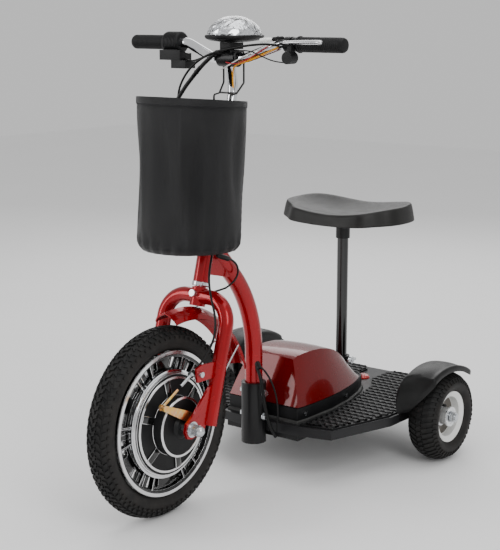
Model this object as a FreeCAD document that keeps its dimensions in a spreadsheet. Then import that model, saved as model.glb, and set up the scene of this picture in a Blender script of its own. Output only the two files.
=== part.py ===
"""Three-wheeled stand-and-sit mobility scooter.

Millimetres, +Z up, floor at z = 0, front wheel towards -Y, the rider's left towards +X.
The steering is straight ahead and every control is at rest.
"""
import FreeCAD, Part
import math
import os
import re
import Sketcher

DIMENSIONS = {
    # wheels
    "front_axle_y": -342, "front_axle_z": 208, "front_tyre_radius": 208, "front_tyre_half": 28.5,
    "front_rim_radius": 158, "front_rim_half": 26, "barrel_radius": 112, "barrel_half": 30,
    "drum_radius": 64, "drum_end": 62, "rear_axle_y": 354, "rear_axle_z": 108,
    "rear_tyre_radius": 108, "rear_tyre_half": 39, "rear_track": 289, "rear_rim_radius": 62,
    "rear_rim_half": 28, "rear_shaft_radius": 8, "tyre_wall": 6, "axle_radius": 10,
    "axle_thread_radius": 7, "running_gap": 0.06,
    # frame
    "rake": 15.5, "crown_y": -209.8, "crown_z": 460, "leg_spread": 87, "leg_radius": 16.5,
    "leg_wall": 2.5, "leg_drop": 268, "arch_bend": 55, "steerer_radius": 12.7,
    "steerer_bore": 11.2, "head_radius": 18, "head_wall": 2.5, "head_low": 31, "head_length": 156,
    "cup_radius": 19.5, "main_radius": 20.3, "main_wall": 2.5, "main_y": -14, "main_bend": 284,
    "socket_radius": 29, "socket_low": 80, "socket_top": 224, "plate": 6,
    # deck and battery box
    "deck_low": 108, "deck_top": 130, "skin": 3, "mat": 4, "base_top": 168, "cover_top": 284,
    "cover_taper": 18, "notch_radius": 22, "post_y": 349, "post_radius": 14, "post_low": 124,
    "post_length": 420, "seat_socket_radius": 18, "seat_socket_low": 120.1, "seat_socket_top": 212,
    "fender_radius": 205, "fender_inner": 244, "fender_outer": 327,
    "fender_y": 331, "fender_z": 36,
    # saddle
    "saddle_low": 552, "saddle_thick": 37,
    # bars and controls
    "bar_radius": 11.1, "bar_wall": 1.8, "bar_y": -101, "bar_z": 968, "grip_y": -85,
    "grip_z": 999, "bar_end": 288, "grip_radius": 16, "grip_start": 176, "twist_start": 194,
    "perch_x": 150, "lever_y": -119, "lever_z": 1004, "lamp_y": -83, "lamp_z": 1013,
    "lamp_half_width": 57, "lamp_half_length": 71, "lamp_rise": 45, "lamp_drop": 12,
    # basket
    "basket_y": -227, "basket_z": 887, "basket_tilt": 4.5, "basket_lean": 1.7, "basket_radius": 115,
    "basket_depth": 318, "basket_wall": 3, "basket_back": 24, "wire_radius": 2.5,
    # brake
    "arm_x": 74, "arm_y": -328, "arm_z": 228, "arm_tip_y": -417, "arm_tip_z": 270,
    "cable_radius": 2.5, "lead_radius": 4,
}

X_AXIS = FreeCAD.Vector(1, 0, 0)
Y_AXIS = FreeCAD.Vector(0, 1, 0)
Z_AXIS = FreeCAD.Vector(0, 0, 1)

doc = FreeCAD.newDocument("scooter")
nodes = []


def make_sheet():
    """Put every driving dimension in a cell with its own alias."""
    sheet = doc.addObject("Spreadsheet::Sheet", "Dims")
    for row, (alias, size) in enumerate(DIMENSIONS.items(), 1):
        sheet.set(f"A{row}", alias)
        sheet.set(f"B{row}", str(size))
        sheet.setAlias(f"B{row}", alias)
    doc.recompute()
    return sheet


sheet = make_sheet()


def number(text):
    """The value of an expression written with the sheet's aliases."""
    return float(sheet.evalExpression(text))


def bound(text):
    """The same expression as another object has to write it."""
    return re.sub(r"[a-z]\w*", lambda word: "Dims." + word.group(0), text)


def bind(feature, **sizes):
    for field, text in sizes.items():
        feature.setExpression(field, bound(text))


def spot(x, y, z):
    return FreeCAD.Vector(number(x), number(y), number(z))


def place(x, y, z, turn=FreeCAD.Rotation()):
    return FreeCAD.Placement(spot(x, y, z), turn)


# Turns that lay a shape's own axis along one of the frame's axes.
LATHE_ALONG_X = FreeCAD.Rotation(Z_AXIS, -90)
LATHE_ALONG_Z = FreeCAD.Rotation(X_AXIS, 90)
ROD_ALONG_X = FreeCAD.Rotation(Y_AXIS, 90)
ROD_ALONG_Y = FreeCAD.Rotation(X_AXIS, -90)
PLATE_FACING_X = FreeCAD.Rotation(Y_AXIS, Z_AXIS, X_AXIS, "ZXY")
RAKE = FreeCAD.Rotation(X_AXIS, -number("rake"))
STEERING = FreeCAD.Placement(spot("0", "crown_y", "crown_z"), RAKE)


def on_steering(x, y, z, turn=FreeCAD.Rotation()):
    """A placement given along the raked steering axis, from the fork crown."""
    return STEERING * FreeCAD.Placement(FreeCAD.Vector(x, y, z), turn)


# --------------------------------------------------------------------------- building blocks
def keep(label, feature):
    """Name a finished sub-part."""
    feature.Label = label
    nodes.append(feature)
    return feature


def cylinder(radius, height, where):
    rod = doc.addObject("Part::Cylinder", "Rod")
    bind(rod, Radius=radius, Height=height)
    rod.Placement = where
    return rod


def prism(radius, height, where, sides=6):
    nut = doc.addObject("Part::Prism", "Hexagon")
    nut.Polygon = sides
    bind(nut, Circumradius=radius, Height=height)
    nut.Placement = where
    return nut


def block(length, width, height, where):
    """A box centred on its placement in X and Y, standing on it in Z."""
    solid = doc.addObject("Part::Box", "Block")
    bind(solid, Length=length, Width=width, Height=height)
    centre = FreeCAD.Vector(-number(length) / 2, -number(width) / 2, 0)
    solid.Placement = where * FreeCAD.Placement(centre, FreeCAD.Rotation())
    return solid


def ball(radius, where):
    solid = doc.addObject("Part::Sphere", "Ball")
    bind(solid, Radius=radius)
    solid.Placement = where
    return solid


def cut(base, tool):
    feature = doc.addObject("Part::Cut", "Cut")
    feature.Base = base
    feature.Tool = tool
    return feature


def common(first, second):
    feature = doc.addObject("Part::Common", "Common")
    feature.Base = first
    feature.Tool = second
    return feature


def fuse(*pieces):
    feature = doc.addObject("Part::MultiFuse", "Fuse")
    feature.Shapes = list(pieces)
    feature.Refine = True
    return feature


def group(*pieces):
    feature = doc.addObject("Part::Compound", "Group")
    feature.Links = list(pieces)
    return feature


def profile(body, outline):
    """A closed sketch whose every corner is bound to the sheet."""
    sketch = body.newObject("Sketcher::SketchObject", "Profile")
    plane = [item for item in body.Origin.OriginFeatures if item.Role == "XY_Plane"][0]
    sketch.AttachmentSupport = (plane, "")
    sketch.MapMode = "FlatFace"
    corners = [(number(across), number(along)) for across, along in outline]
    count = len(corners)
    for index in range(count):
        start = FreeCAD.Vector(*corners[index], 0)
        end = FreeCAD.Vector(*corners[(index + 1) % count], 0)
        sketch.addGeometry(Part.LineSegment(start, end), False)
    for index in range(count):
        sketch.addConstraint(Sketcher.Constraint("Coincident", index, 2, (index + 1) % count, 1))
    for index, (across, along) in enumerate(outline):
        for kind, text, size in zip(("DistanceX", "DistanceY"), (across, along), corners[index]):
            row = sketch.addConstraint(Sketcher.Constraint(kind, -1, 1, index, 1, size))
            sketch.setExpression(f"Constraints[{row}]", bound(text))
    return sketch


def lathe(outline, where, angle="360", first="0"):
    """Turn an outline of (radius, height) corners about the sketch's own Y axis.

    Laid along X, a partial turn starts `first` degrees above +Y and rises from there.
    """
    body = doc.addObject("PartDesign::Body", "Turned")
    sketch = profile(body, outline)
    turned = body.newObject("PartDesign::Revolution", "Revolution")
    turned.Profile = sketch
    turned.ReferenceAxis = (sketch, ["V_Axis"])
    bind(turned, Angle=angle)
    start = FreeCAD.Rotation(Y_AXIS, number(first) + 180)
    body.Placement = where * FreeCAD.Placement(FreeCAD.Vector(), start)
    return body


def pad(outline, height, where, taper="0"):
    """Raise an outline of (x, y) corners, leaning its sides inwards by the taper."""
    body = doc.addObject("PartDesign::Body", "Raised")
    raised = body.newObject("PartDesign::Pad", "Pad")
    raised.Profile = profile(body, outline)
    bind(raised, Length=height, TaperAngle=f"-1 * ({taper})")
    body.Placement = where
    return body


def mirrored_outline(half):
    """Close a symmetric outline from the corners on its +X side."""
    other = [(f"-1 * ({across})", along) for across, along in reversed(half)]
    return half + [corner for corner in other if corner[0] not in ("-1 * (0)",)]


def route(points, bend=None):
    """Straight runs joined by tangent arcs; with no bend given, each arc is as large as it can be."""
    edges = []
    start = points[0]
    for before, corner, after in zip(points, points[1:], points[2:]):
        back = (before - corner).normalize()
        ahead = (after - corner).normalize()
        turn = math.pi - back.getAngle(ahead)
        shorter = min((before - corner).Length, (after - corner).Length)
        reach = 0.45 * shorter if bend is None else bend * math.tan(turn / 2)
        radius = reach / math.tan(turn / 2)
        middle = (back + ahead).normalize()
        crest = corner + middle * (radius / math.cos(turn / 2) - radius)
        entry = corner + back * reach
        leave = corner + ahead * reach
        edges.append(Part.LineSegment(start, entry).toShape())
        edges.append(Part.Arc(entry, crest, leave).toShape())
        start = leave
    edges.append(Part.LineSegment(start, points[-1]).toShape())
    return Part.Wire(edges)


def swept(points, radius, bend=None):
    """A round rod along a route, checked against its section times its length."""
    path = route(points, bend)
    ahead = (points[1] - points[0]).normalize()
    ring = Part.Wire([Part.makeCircle(radius, points[0], ahead)])
    rod = path.makePipeShell([ring], True, False)
    expected = math.pi * radius ** 2 * path.Length
    assert abs(rod.Volume / expected - 1) < 0.02, (rod.Volume, expected)
    return rod


def bent(points, radius, bend=None, bore=None):
    """A bent tube or cable as a feature of the document."""
    feature = doc.addObject("Part::Feature", "Bent")
    solid = swept(points, radius, bend)
    if bore is not None:
        solid = solid.cut(swept(points, bore, bend))
    feature.Shape = solid
    return feature


def sides(build):
    """The same piece on the left (1) and on the right (-1)."""
    return [build(side) for side in (1, -1)]


# --------------------------------------------------------------------------- wheels
def tyre_outline(outer, half, flange, seat_half):
    """A C-shaped tyre section whose beads sit between the rim's flanges."""
    steps = [(0.07, 0.86), (0.2, 0.96), (0.42, 1.0), (0.66, 0.95), (0.86, 0.74), (1.0, 0.32)]
    lip = f"({flange}) + 0.3"
    outside = [(f"{lip} + ({outer} - ({lip})) * {rise}", f"{half} * {width}") for rise, width in steps]
    inside = [(f"{lip} + ({outer} - tyre_wall - ({lip})) * {rise}", f"({half} - tyre_wall) * {width}")
              for rise, width in steps[1:]]
    seat = f"({flange}) - 6"
    left = [(seat, seat_half), (lip, seat_half)] + outside
    back = list(reversed(inside)) + [(seat, f"{seat_half} - tyre_wall")]
    right = [(radius, f"-1 * ({width})") for radius, width in reversed(left)]
    front = [(radius, f"-1 * ({width})") for radius, width in reversed(back)]
    return left + right + front + back


def front_tyre():
    outline = tyre_outline("front_tyre_radius", "front_tyre_half", "front_rim_radius", "front_rim_half - 4.1")
    keep("front_tyre", lathe(outline, place("0", "front_axle_y", "front_axle_z", LATHE_ALONG_X)))


def front_wheel():
    """Cast rim, pierced web and motor barrel in one piece."""
    half = [("barrel_radius", "barrel_half"), ("barrel_radius", "10"), ("front_rim_radius - 14", "10"),
            ("front_rim_radius - 14", "front_rim_half - 3"), ("front_rim_radius", "front_rim_half"),
            ("front_rim_radius", "front_rim_half - 2.5"), ("front_rim_radius - 6", "front_rim_half - 4"),
            ("front_rim_radius - 6.4", "front_rim_half - 12"), ("front_rim_radius - 10", "6")]
    outline = [("barrel_radius - 7", "barrel_half")] + half
    outline += [(radius, f"-1 * ({width})") for radius, width in reversed(outline)]
    where = place("0", "front_axle_y", "front_axle_z", LATHE_ALONG_X)
    casting = lathe(outline, where)
    window = [("barrel_radius + 7", "-20"), ("front_rim_radius - 17", "-20"),
              ("front_rim_radius - 17", "20"), ("barrel_radius + 7", "20")]
    windows = []
    for spoke in range(6):
        for shift in (-22, 2):
            windows.append(lathe(window, where, "20", f"{60 * spoke + shift}"))
    keep("front_wheel", cut(casting, group(*windows)))


def motor_covers():
    """End covers of the hub motor; the left one carries the brake drum."""
    where = place("0", "front_axle_y", "front_axle_z", LATHE_ALONG_X)
    bore = "axle_radius + running_gap"
    left = [(bore, "barrel_half - 4"), (bore, "barrel_half + 6"), ("drum_radius - 3", "barrel_half + 6"),
            ("drum_radius - 3", "drum_end"), ("drum_radius", "drum_end"),
            ("drum_radius", "barrel_half + 8"), ("barrel_radius - 24", "barrel_half + 5"),
            ("barrel_radius - 3", "barrel_half + 4"), ("barrel_radius - 3", "barrel_half"),
            ("24", "barrel_half"), ("24", "barrel_half - 4")]
    right = [(bore, "-1 * barrel_half + 4"), (bore, "-1 * barrel_half - 20"), ("22", "-1 * barrel_half - 20"),
             ("34", "-1 * barrel_half - 9"), ("barrel_radius - 24", "-1 * barrel_half - 6"),
             ("barrel_radius - 3", "-1 * barrel_half - 4"), ("barrel_radius - 3", "-1 * barrel_half"),
             ("24", "-1 * barrel_half"), ("24", "-1 * barrel_half + 4")]
    keep("motor_covers", group(lathe(left, where), lathe(right, where)))


def motor_stator():
    """Fixed windings and core on the front axle."""
    outline = [("axle_radius", "-20"), ("axle_radius", "20"), ("40", "20"), ("40", "12"),
               ("barrel_radius - 18", "17"), ("barrel_radius - 18", "12"), ("barrel_radius - 12", "12"),
               ("barrel_radius - 12", "-12"), ("barrel_radius - 18", "-12"), ("barrel_radius - 18", "-17"),
               ("40", "-12"), ("40", "-20")]
    keep("motor_stator", lathe(outline, place("0", "front_axle_y", "front_axle_z", LATHE_ALONG_X)))


def front_axle():
    """Fixed axle with torque washers and domed hexagon nuts."""
    shaft = cylinder("axle_radius", "2 * 78", place("-78", "front_axle_y", "front_axle_z", ROD_ALONG_X))
    ends = place("-112", "front_axle_y", "front_axle_z", ROD_ALONG_X)
    thread = cylinder("axle_thread_radius", "2 * 112", ends)
    pieces = [fuse(shaft, thread)]

    def stacked(shape, radius, near, far, side):
        start = place(f"{near if side > 0 else -far}", "front_axle_y", "front_axle_z", ROD_ALONG_X)
        length = f"{far} - {near}"
        return cut(shape(radius, length, start), cylinder("axle_thread_radius", length, start))

    for side in (1, -1):
        pieces.append(stacked(cylinder, "17", 90.1, 93.1, side))
        pieces.append(stacked(cylinder, "13.5", 93.2, 96.2, side))
        pieces.append(stacked(prism, "13", 96.3, 112, side))
        cap = place("112.1" if side > 0 else "-125", "front_axle_y", "front_axle_z", ROD_ALONG_X)
        dome = ball("11", place(f"{side * 112}", "front_axle_y", "front_axle_z"))
        pieces.append(common(dome, cylinder("12", "12.9", cap)))
    keep("front_axle", group(*pieces))


def brake_plate():
    """Backing plate that closes the brake drum and carries the cam."""
    where = place("0", "front_axle_y", "front_axle_z", LATHE_ALONG_X)
    outline = [("axle_radius", "drum_end - 8"), ("axle_radius", "drum_end + 6"), ("20", "drum_end + 6"),
               ("26", "drum_end"), ("drum_radius - 5", "drum_end"), ("drum_radius - 5", "drum_end - 4"),
               ("20", "drum_end - 4"), ("20", "drum_end - 8")]
    keep("brake_plate", lathe(outline, where))


def rear_wheel(name, side):
    centre = f"{side} * rear_track"
    where = place(centre, "rear_axle_y", "rear_axle_z", LATHE_ALONG_X)
    outline = tyre_outline("rear_tyre_radius", "rear_tyre_half", "rear_rim_radius", "rear_rim_half - 3.1")
    keep(f"rear_tyre_{name}", lathe(outline, where))
    rim = [("rear_rim_radius - 13", "rear_rim_half - 6"), ("rear_rim_radius", "rear_rim_half"),
           ("rear_rim_radius", "rear_rim_half - 2.5"), ("rear_rim_radius - 6", "rear_rim_half - 3"),
           ("rear_rim_radius - 6.4", "rear_rim_half - 16"), ("rear_rim_radius - 10", "6")]
    hub = [("22", "4"), ("20", "28"), ("rear_shaft_radius + running_gap", "28")]
    disc = [("rear_rim_radius - 14", "4")]
    upper = list(reversed(rim)) + disc + hub
    lower = [(radius, f"-1 * ({width})") for radius, width in reversed(upper)]
    keep(f"rear_hub_{name}", lathe(upper + lower, where))


def rear_axle():
    half = "rear_track + 44"
    where = place(f"-1 * ({half})", "rear_axle_y", "rear_axle_z", ROD_ALONG_X)
    keep("rear_axle", cylinder("rear_shaft_radius", f"2 * ({half})", where))
    pieces = []
    for side in (1, -1):
        for offset, radius, thick in ((29.5, 13, 2.5), (32.5, 12.5, 9)):
            start = offset if side > 0 else -offset - thick
            seat = place(f"{side} * rear_track + {start}", "rear_axle_y", "rear_axle_z", ROD_ALONG_X)
            make = cylinder if thick < 5 else prism
            shape = make(f"{radius}", f"{thick}", seat)
            pieces.append(cut(shape, cylinder("rear_shaft_radius", f"{thick}", seat)))
        inner = -31 if side > 0 else 29
        collar = place(f"{side} * rear_track + {inner}", "rear_axle_y", "rear_axle_z", ROD_ALONG_X)
        pieces.append(cut(cylinder("14", "2", collar), cylinder("rear_shaft_radius", "2", collar)))
    keep("rear_axle_nuts", group(*pieces))


# --------------------------------------------------------------------------- frame
SOCKET_BOLTS = ("144", "200")


def main_tube():
    points = [spot("0", "main_y", "socket_low + 12"), spot("0", "main_y", "404"),
              FreeCAD.Vector(0, -181, 583)]
    tube = bent(points, number("main_radius"), number("main_bend"), number("main_radius - main_wall"))
    head = cylinder("head_radius + 0.1", "head_length + 40", on_steering(0, 0, 10))
    keep("main_tube", cut(tube, group(head, *socket_holes())))


def socket_holes():
    """Cross holes for the two bolts that hold the main tube in its socket."""
    return [cylinder("4.05", "80", place("-40", "main_y", level, ROD_ALONG_X)) for level in SOCKET_BOLTS]


def head_tube():
    low = number("head_low")
    outer = cylinder("head_radius", "head_length", on_steering(0, 0, low))
    keep("head_tube", cut(outer, cylinder("head_radius - head_wall", "head_length", on_steering(0, 0, low))))


def headset_cups():
    """Pressed bearing cups, one at each end of the head tube."""
    bore = "steerer_radius + running_gap"
    lower = [(bore, "-10"), ("cup_radius - 2", "-10"), ("cup_radius", "-7"), ("cup_radius", "-1"),
             ("cup_radius - 1", "-0.1"), ("head_radius - head_wall - 0.1", "-0.1"),
             ("head_radius - head_wall - 0.1", "9"), (bore, "9")]
    upper = [(radius, f"-1 * ({height})") for radius, height in lower]
    turn = FreeCAD.Rotation(X_AXIS, 90)
    low = number("head_low")
    top = low + number("head_length")
    cups = [lathe(lower, on_steering(0, 0, low, turn)), lathe(upper, on_steering(0, 0, top, turn))]
    keep("headset_cups", group(*cups))


def head_gusset():
    """Folded plate that closes the corner between the head tube and the main tube."""
    outline = [("-188", "505"), ("-126", "490"), ("-112", "490"), ("-150", "548"), ("-176", "566")]
    raised = [(across, f"{height} + 3") for across, height in outline]
    plate = cut(pad(outline, "24", place("-12", "0", "0", PLATE_FACING_X)),
                pad(raised, "18", place("-9", "0", "0", PLATE_FACING_X)))
    line = bent([spot("0", "main_y", "200"), spot("0", "main_y", "404"), FreeCAD.Vector(0, -192, 595)],
                number("main_radius + 0.1"), number("main_bend"))
    keep("head_gusset", cut(cut(plate, line), cylinder("head_radius + 0.1", "200", on_steering(0, 0, 10))))


def tube_socket():
    height = "socket_top - socket_low"
    where = place("0", "main_y", "socket_low")
    bore = cylinder("main_radius + 0.1", height, where)
    keep("tube_socket", cut(cylinder("socket_radius", height, where), group(bore, *socket_holes())))
    bolts = []
    for level in SOCKET_BOLTS:
        end = place("-1 * socket_radius - 4", "main_y", level, ROD_ALONG_X)
        shank = cylinder("4", "2 * socket_radius + 8", end)
        head = prism("8", "6", place("socket_radius + 2", "main_y", level, ROD_ALONG_X))
        washer = cylinder("9.5", "1.8", place("socket_radius + 0.1", "main_y", level, ROD_ALONG_X))
        nut = prism("8", "6", place("-1 * socket_radius - 6.1", "main_y", level, ROD_ALONG_X))
        bolts.append(fuse(shank, head, washer, nut))
    keep("socket_bolts", group(*bolts))


def chassis_frame():
    """Rails, cross members, axle tube and the pan under the battery box."""
    tube_at = place("-238", "rear_axle_y", "rear_axle_z", ROD_ALONG_X)
    pieces = [cut(cylinder("12", "476", tube_at), cylinder("rear_shaft_radius", "476", tube_at))]
    for side in (1, -1):
        pieces.append(block("28", "320", "18.5", place(f"{side * 130}", "186", "108.5")))
    pieces.append(block("288", "26", "18.5", place("0", "39", "108.5")))
    pieces.append(block("288", "26", "18.5", place("0", "316", "108.5")))
    pieces.append(block("46", "30", "24", place("0", "24", "100")))
    pan = cut(block("208", "300", "18", place("0", "168", "90")),
              block("202", "294", "18", place("0", "168", "93")))
    pieces.append(pan)
    frame = fuse(*pieces)
    socket = cylinder("socket_radius + 0.1", "200", place("0", "main_y", "20"))
    shaft = cylinder("rear_shaft_radius", "476", tube_at)
    keep("chassis_frame", cut(cut(frame, socket), shaft))


DECK_HALF = [("0", "550"), ("85", "550"), ("150", "532"), ("214", "492"), ("fender_inner", "470"),
             ("fender_inner", "200"), ("193", "25"), ("120", "6"), ("34", "-4"), ("0", "-4")]


def inset(outline, by):
    """Move an outline's corners inwards, towards the platform's middle."""
    moved = []
    for across, along in outline:
        y = number(along)
        shift = -by if y > 275 else by
        narrower = across if across == "0" else f"{across} - {by}"
        moved.append((narrower, f"{along} + {shift}"))
    return moved


def deck_platform():
    """Pressed platform: a top skin with a skirt all round."""
    outer = pad(mirrored_outline(DECK_HALF), "deck_top - deck_low", place("0", "0", "deck_low"))
    depth = "deck_top - deck_low - skin"
    inner = pad(mirrored_outline(inset(DECK_HALF, 3)), depth, place("0", "0", "deck_low"))
    tray = cut(outer, inner)
    socket = cylinder("socket_radius + 0.1", "60", place("0", "main_y", "100"))
    post = cylinder("seat_socket_radius", "60", place("0", "post_y", "100"))
    pan = block("202", "294", "60", place("0", "168", "100"))
    axle = cylinder("14", "520", place("-260", "rear_axle_y", "rear_axle_z", ROD_ALONG_X))
    keep("deck_platform", cut(tray, group(socket, post, pan, axle)))


def deck_mats():
    """Ribbed rubber mats, one each side of the battery box."""
    def one(side):
        outline = [("112", "14"), ("190", "32"), ("238", "199"), ("238", "466"), ("210", "486"),
                   ("148", "525"), ("84", "543"), ("44", "541"), ("30", "520"), ("30", "440"), ("66", "385"),
                   ("94", "270"), ("112", "150")]
        turned = [(f"{side} * ({across})", along) for across, along in outline]
        return pad(turned, "mat", place("0", "0", "deck_top"))
    keep("deck_mats", group(*sides(one)))


def fender(name, side):
    """Arched guard over a rear tyre, with an inner wall that stands against the platform."""
    section = [("fender_radius - 11", "fender_inner"), ("fender_radius - 4", "fender_inner + 5"),
               ("fender_radius", "fender_inner + 20"), ("fender_radius + 1", "fender_inner + 44"),
               ("fender_radius - 5", "fender_outer - 11"), ("fender_radius - 15", "fender_outer"),
               ("fender_radius - 18", "fender_outer - 1"), ("fender_radius - 8", "fender_outer - 13"),
               ("fender_radius - 2", "fender_inner + 43"), ("fender_radius - 3", "fender_inner + 21"),
               ("fender_radius - 6", "fender_inner + 8"), ("fender_radius - 13", "fender_inner + 3")]
    turned = [(radius, f"{side} * ({across})") for radius, across in section]
    where = place("0", "fender_y", "fender_z", LATHE_ALONG_X)
    arch = lathe(turned, where, "66", "56")
    outline = [("fender_y + 112", "deck_low + 4"), ("fender_y - 108", "deck_low + 4")]
    for angle in range(122, 55, -11):
        y = f"fender_y + (fender_radius - 9) * {math.cos(math.radians(angle)):.4f}"
        z = f"fender_z + (fender_radius - 9) * {math.sin(math.radians(angle)):.4f}"
        outline.append((y, z))
    wall_x = "fender_inner" if side > 0 else "-1 * fender_inner - 3"
    wall = pad(outline, "3", place(wall_x, "0", "0", PLATE_FACING_X))
    axle = cylinder("14", "700", place("-350", "rear_axle_y", "rear_axle_z", ROD_ALONG_X))
    corner = [("fender_inner + 14", "fender_y - 130"), ("fender_outer + 12", "fender_y - 130"),
              ("fender_outer + 12", "fender_y - 52"), ("fender_outer - 6", "fender_y - 52")]
    sweep = [(f"{side} * ({across})", along) for across, along in corner]
    notch = pad(sweep, "200", place("0", "0", "deck_low"))
    keep(f"fender_{name}", cut(fuse(arch, wall), group(axle, notch)))


BOX_HALF = [("0", "22"), ("100", "22"), ("104", "60"), ("104", "160"), ("92", "245"), ("72", "318"),
            ("50", "368"), ("30", "382"), ("0", "384")]


def box_base():
    """Black lower half of the battery box, with a shelf around the seat post."""
    height = "base_top - deck_top - mat / 2"
    low = "deck_top + 0.2"
    outer = pad(mirrored_outline(BOX_HALF), height, place("0", "0", low))
    inner = pad(mirrored_outline(inset(BOX_HALF, 3)), height, place("0", "0", f"{low} + skin"))
    shelf = common(pad(mirrored_outline(BOX_HALF), "skin", place("0", "0", "base_top - skin - 4")),
                   block("300", "60", "80", place("0", "362", "120")))
    post = cylinder("seat_socket_radius + 0.4", "90", place("0", "post_y", "100"))
    keep("box_base", cut(fuse(cut(outer, inner), shelf), post))


COVER_SIDE = [("10", "-1"), ("30", "66"), ("53", "106"), ("99", "111"), ("140", "111"), ("190", "104.5"),
              ("228", "92"), ("266", "78"), ("302", "55"), ("326", "29"), ("340", "-1")]
COVER_PLAN = [("0", "21"), ("101", "21"), ("104", "60"), ("104", "160"), ("92", "245"), ("72", "318"),
              ("56", "352"), ("0", "352")]


def cover_form(by):
    """The cover's closed outside form, or the same form pulled in by its wall."""
    half = inset(COVER_PLAN, by) if by else COVER_PLAN
    foot = place("0", "0", "base_top + 0.2")
    plan = pad(mirrored_outline(half), "cover_top - base_top - 5", foot, "cover_taper")
    outline = [(along, f"{height} - {by}") for along, height in COVER_SIDE]
    side = pad(outline, "240", place("-120", "0", "base_top", PLATE_FACING_X))
    return common(plan, side)


def box_cover():
    """Painted cover of the battery box, notched at the back for the seat post."""
    shell = cut(cover_form(0), cover_form(3))
    rim = "base_top + 0.2"
    notch = cylinder("notch_radius", "160", place("0", "post_y", rim))
    behind = block("2 * notch_radius", "60", "160", place("0", "post_y + 30", rim))
    keep("box_cover", cut(shell, fuse(notch, behind)))


def box_contents():
    keep("battery_pack", block("138", "170", "92", place("0", "150", "133.3")))
    keep("motor_controller", block("84", "56", "30", place("0", "285", "133.3")))
    screws = []
    for y in ("48", "232"):
        for side in (1, -1):
            reach = 101 if y == "48" else 92.5
            turn = FreeCAD.Rotation(Z_AXIS, X_AXIS * side)
            head = cylinder("4.5", "2.4", place(f"{side * (reach + 2.6)}", y, "150", turn))
            shank = cylinder("2", "8", place(f"{side * (reach - 5)}", y, "150", turn))
            screws.append(fuse(head, shank))
    keep("box_screws", group(*screws))


def tail_reflector():
    outline = [("0", "0"), ("17", "0"), ("17", "3"), ("14", "7"), ("8", "9.5"), ("0", "10")]
    keep("tail_reflector", lathe(outline, place("0", "452", "deck_top + 0.1", LATHE_ALONG_Z)))


def seat_socket():
    """Fixed sleeve for the seat post, with a clamp collar."""
    where = place("0", "post_y", "seat_socket_low")
    height = "seat_socket_top - seat_socket_low"
    collar = cylinder("seat_socket_radius + 3", "16", place("0", "post_y", "seat_socket_top - 16"))
    boss = cylinder("7", "12", place("14", "post_y", "seat_socket_top - 8", ROD_ALONG_X))
    bore = cylinder("post_radius + running_gap", "200", place("0", "post_y", "seat_socket_low - 5"))
    screw = cylinder("4.1", "30", place("12", "post_y", "seat_socket_top - 8", ROD_ALONG_X))
    barrel = cylinder("seat_socket_radius", height, where)
    keep("seat_socket", cut(fuse(barrel, collar, boss), group(bore, screw)))


def seat_clamp_knob():
    """Screw with a cross bar that clamps the seat post."""
    stem = cylinder("4", "20", place("15", "post_y", "seat_socket_top - 8", ROD_ALONG_X))
    head = cylinder("9", "7", place("27", "post_y", "seat_socket_top - 8", ROD_ALONG_X))
    bar = block("5", "34", "6", place("31.5", "post_y", "seat_socket_top - 11"))
    keep("seat_clamp_knob", fuse(stem, head, bar))


def seat():
    where = place("0", "post_y", "post_low")
    keep("seat_post", cut(cylinder("post_radius", "post_length", where),
                          cylinder("post_radius - 2", "post_length", where)))
    plate = block("110", "120", "3", place("0", "post_y", "post_low + post_length + 4.9"))
    cup = cut(cylinder("post_radius + 3.5", "35", place("0", "post_y", "post_low + post_length - 30")),
              cylinder("post_radius", "30.5", place("0", "post_y", "post_low + post_length - 30.5")))
    keep("saddle_bracket", fuse(plate, cup))
    plan = [("0", "269"), ("94", "269"), ("122", "284"), ("160", "312"), ("170", "345"), ("170", "398"),
            ("158", "440"), ("130", "468"), ("80", "482"), ("0", "487")]
    shape = pad(mirrored_outline(plan), "120", place("0", "0", "520"), "4")
    under = [("0", "saddle_low"), ("60", "saddle_low + 2"), ("110", "saddle_low + 7"),
             ("172", "saddle_low + 17")]
    over = [(across, f"{height} + saddle_thick") for across, height in under]
    left = [(f"-1 * ({across})", height) for across, height in reversed(over[1:])]
    ring = under + list(reversed(over)) + list(reversed(left)) \
        + [(f"-1 * ({across})", height) for across, height in reversed(under[1:])]
    band = pad(ring, "300", place("0", "530", "0", FreeCAD.Rotation(X_AXIS, 90)))
    keep("saddle", common(shape, band))


# --------------------------------------------------------------------------- fork and steering
def fork():
    """Bent-tube fork with its crown sleeve, steerer and lock nut."""
    spread = number("leg_spread")
    drop = number("leg_drop")
    legs = [FreeCAD.Vector(spread, 0, -drop), FreeCAD.Vector(spread, 0, 0),
            FreeCAD.Vector(-spread, 0, 0), FreeCAD.Vector(-spread, 0, -drop)]
    points = [STEERING.multVec(corner) for corner in legs]
    arch = bent(points, number("leg_radius"), number("arch_bend"), number("leg_radius - leg_wall"))
    sleeve = cylinder("leg_radius + 1", "41", on_steering(0, 0, -22))
    steerer = cylinder("steerer_radius", "head_low + head_length + 4", on_steering(0, 0, 10))
    nut = prism("18.5", "9", on_steering(0, 0, number("head_low + head_length + 10.6")), 8)
    body = fuse(arch, sleeve, steerer, nut)
    bore = cylinder("steerer_bore", "400", on_steering(0, 0, -40))
    keep("fork", cut(body, bore))


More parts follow.
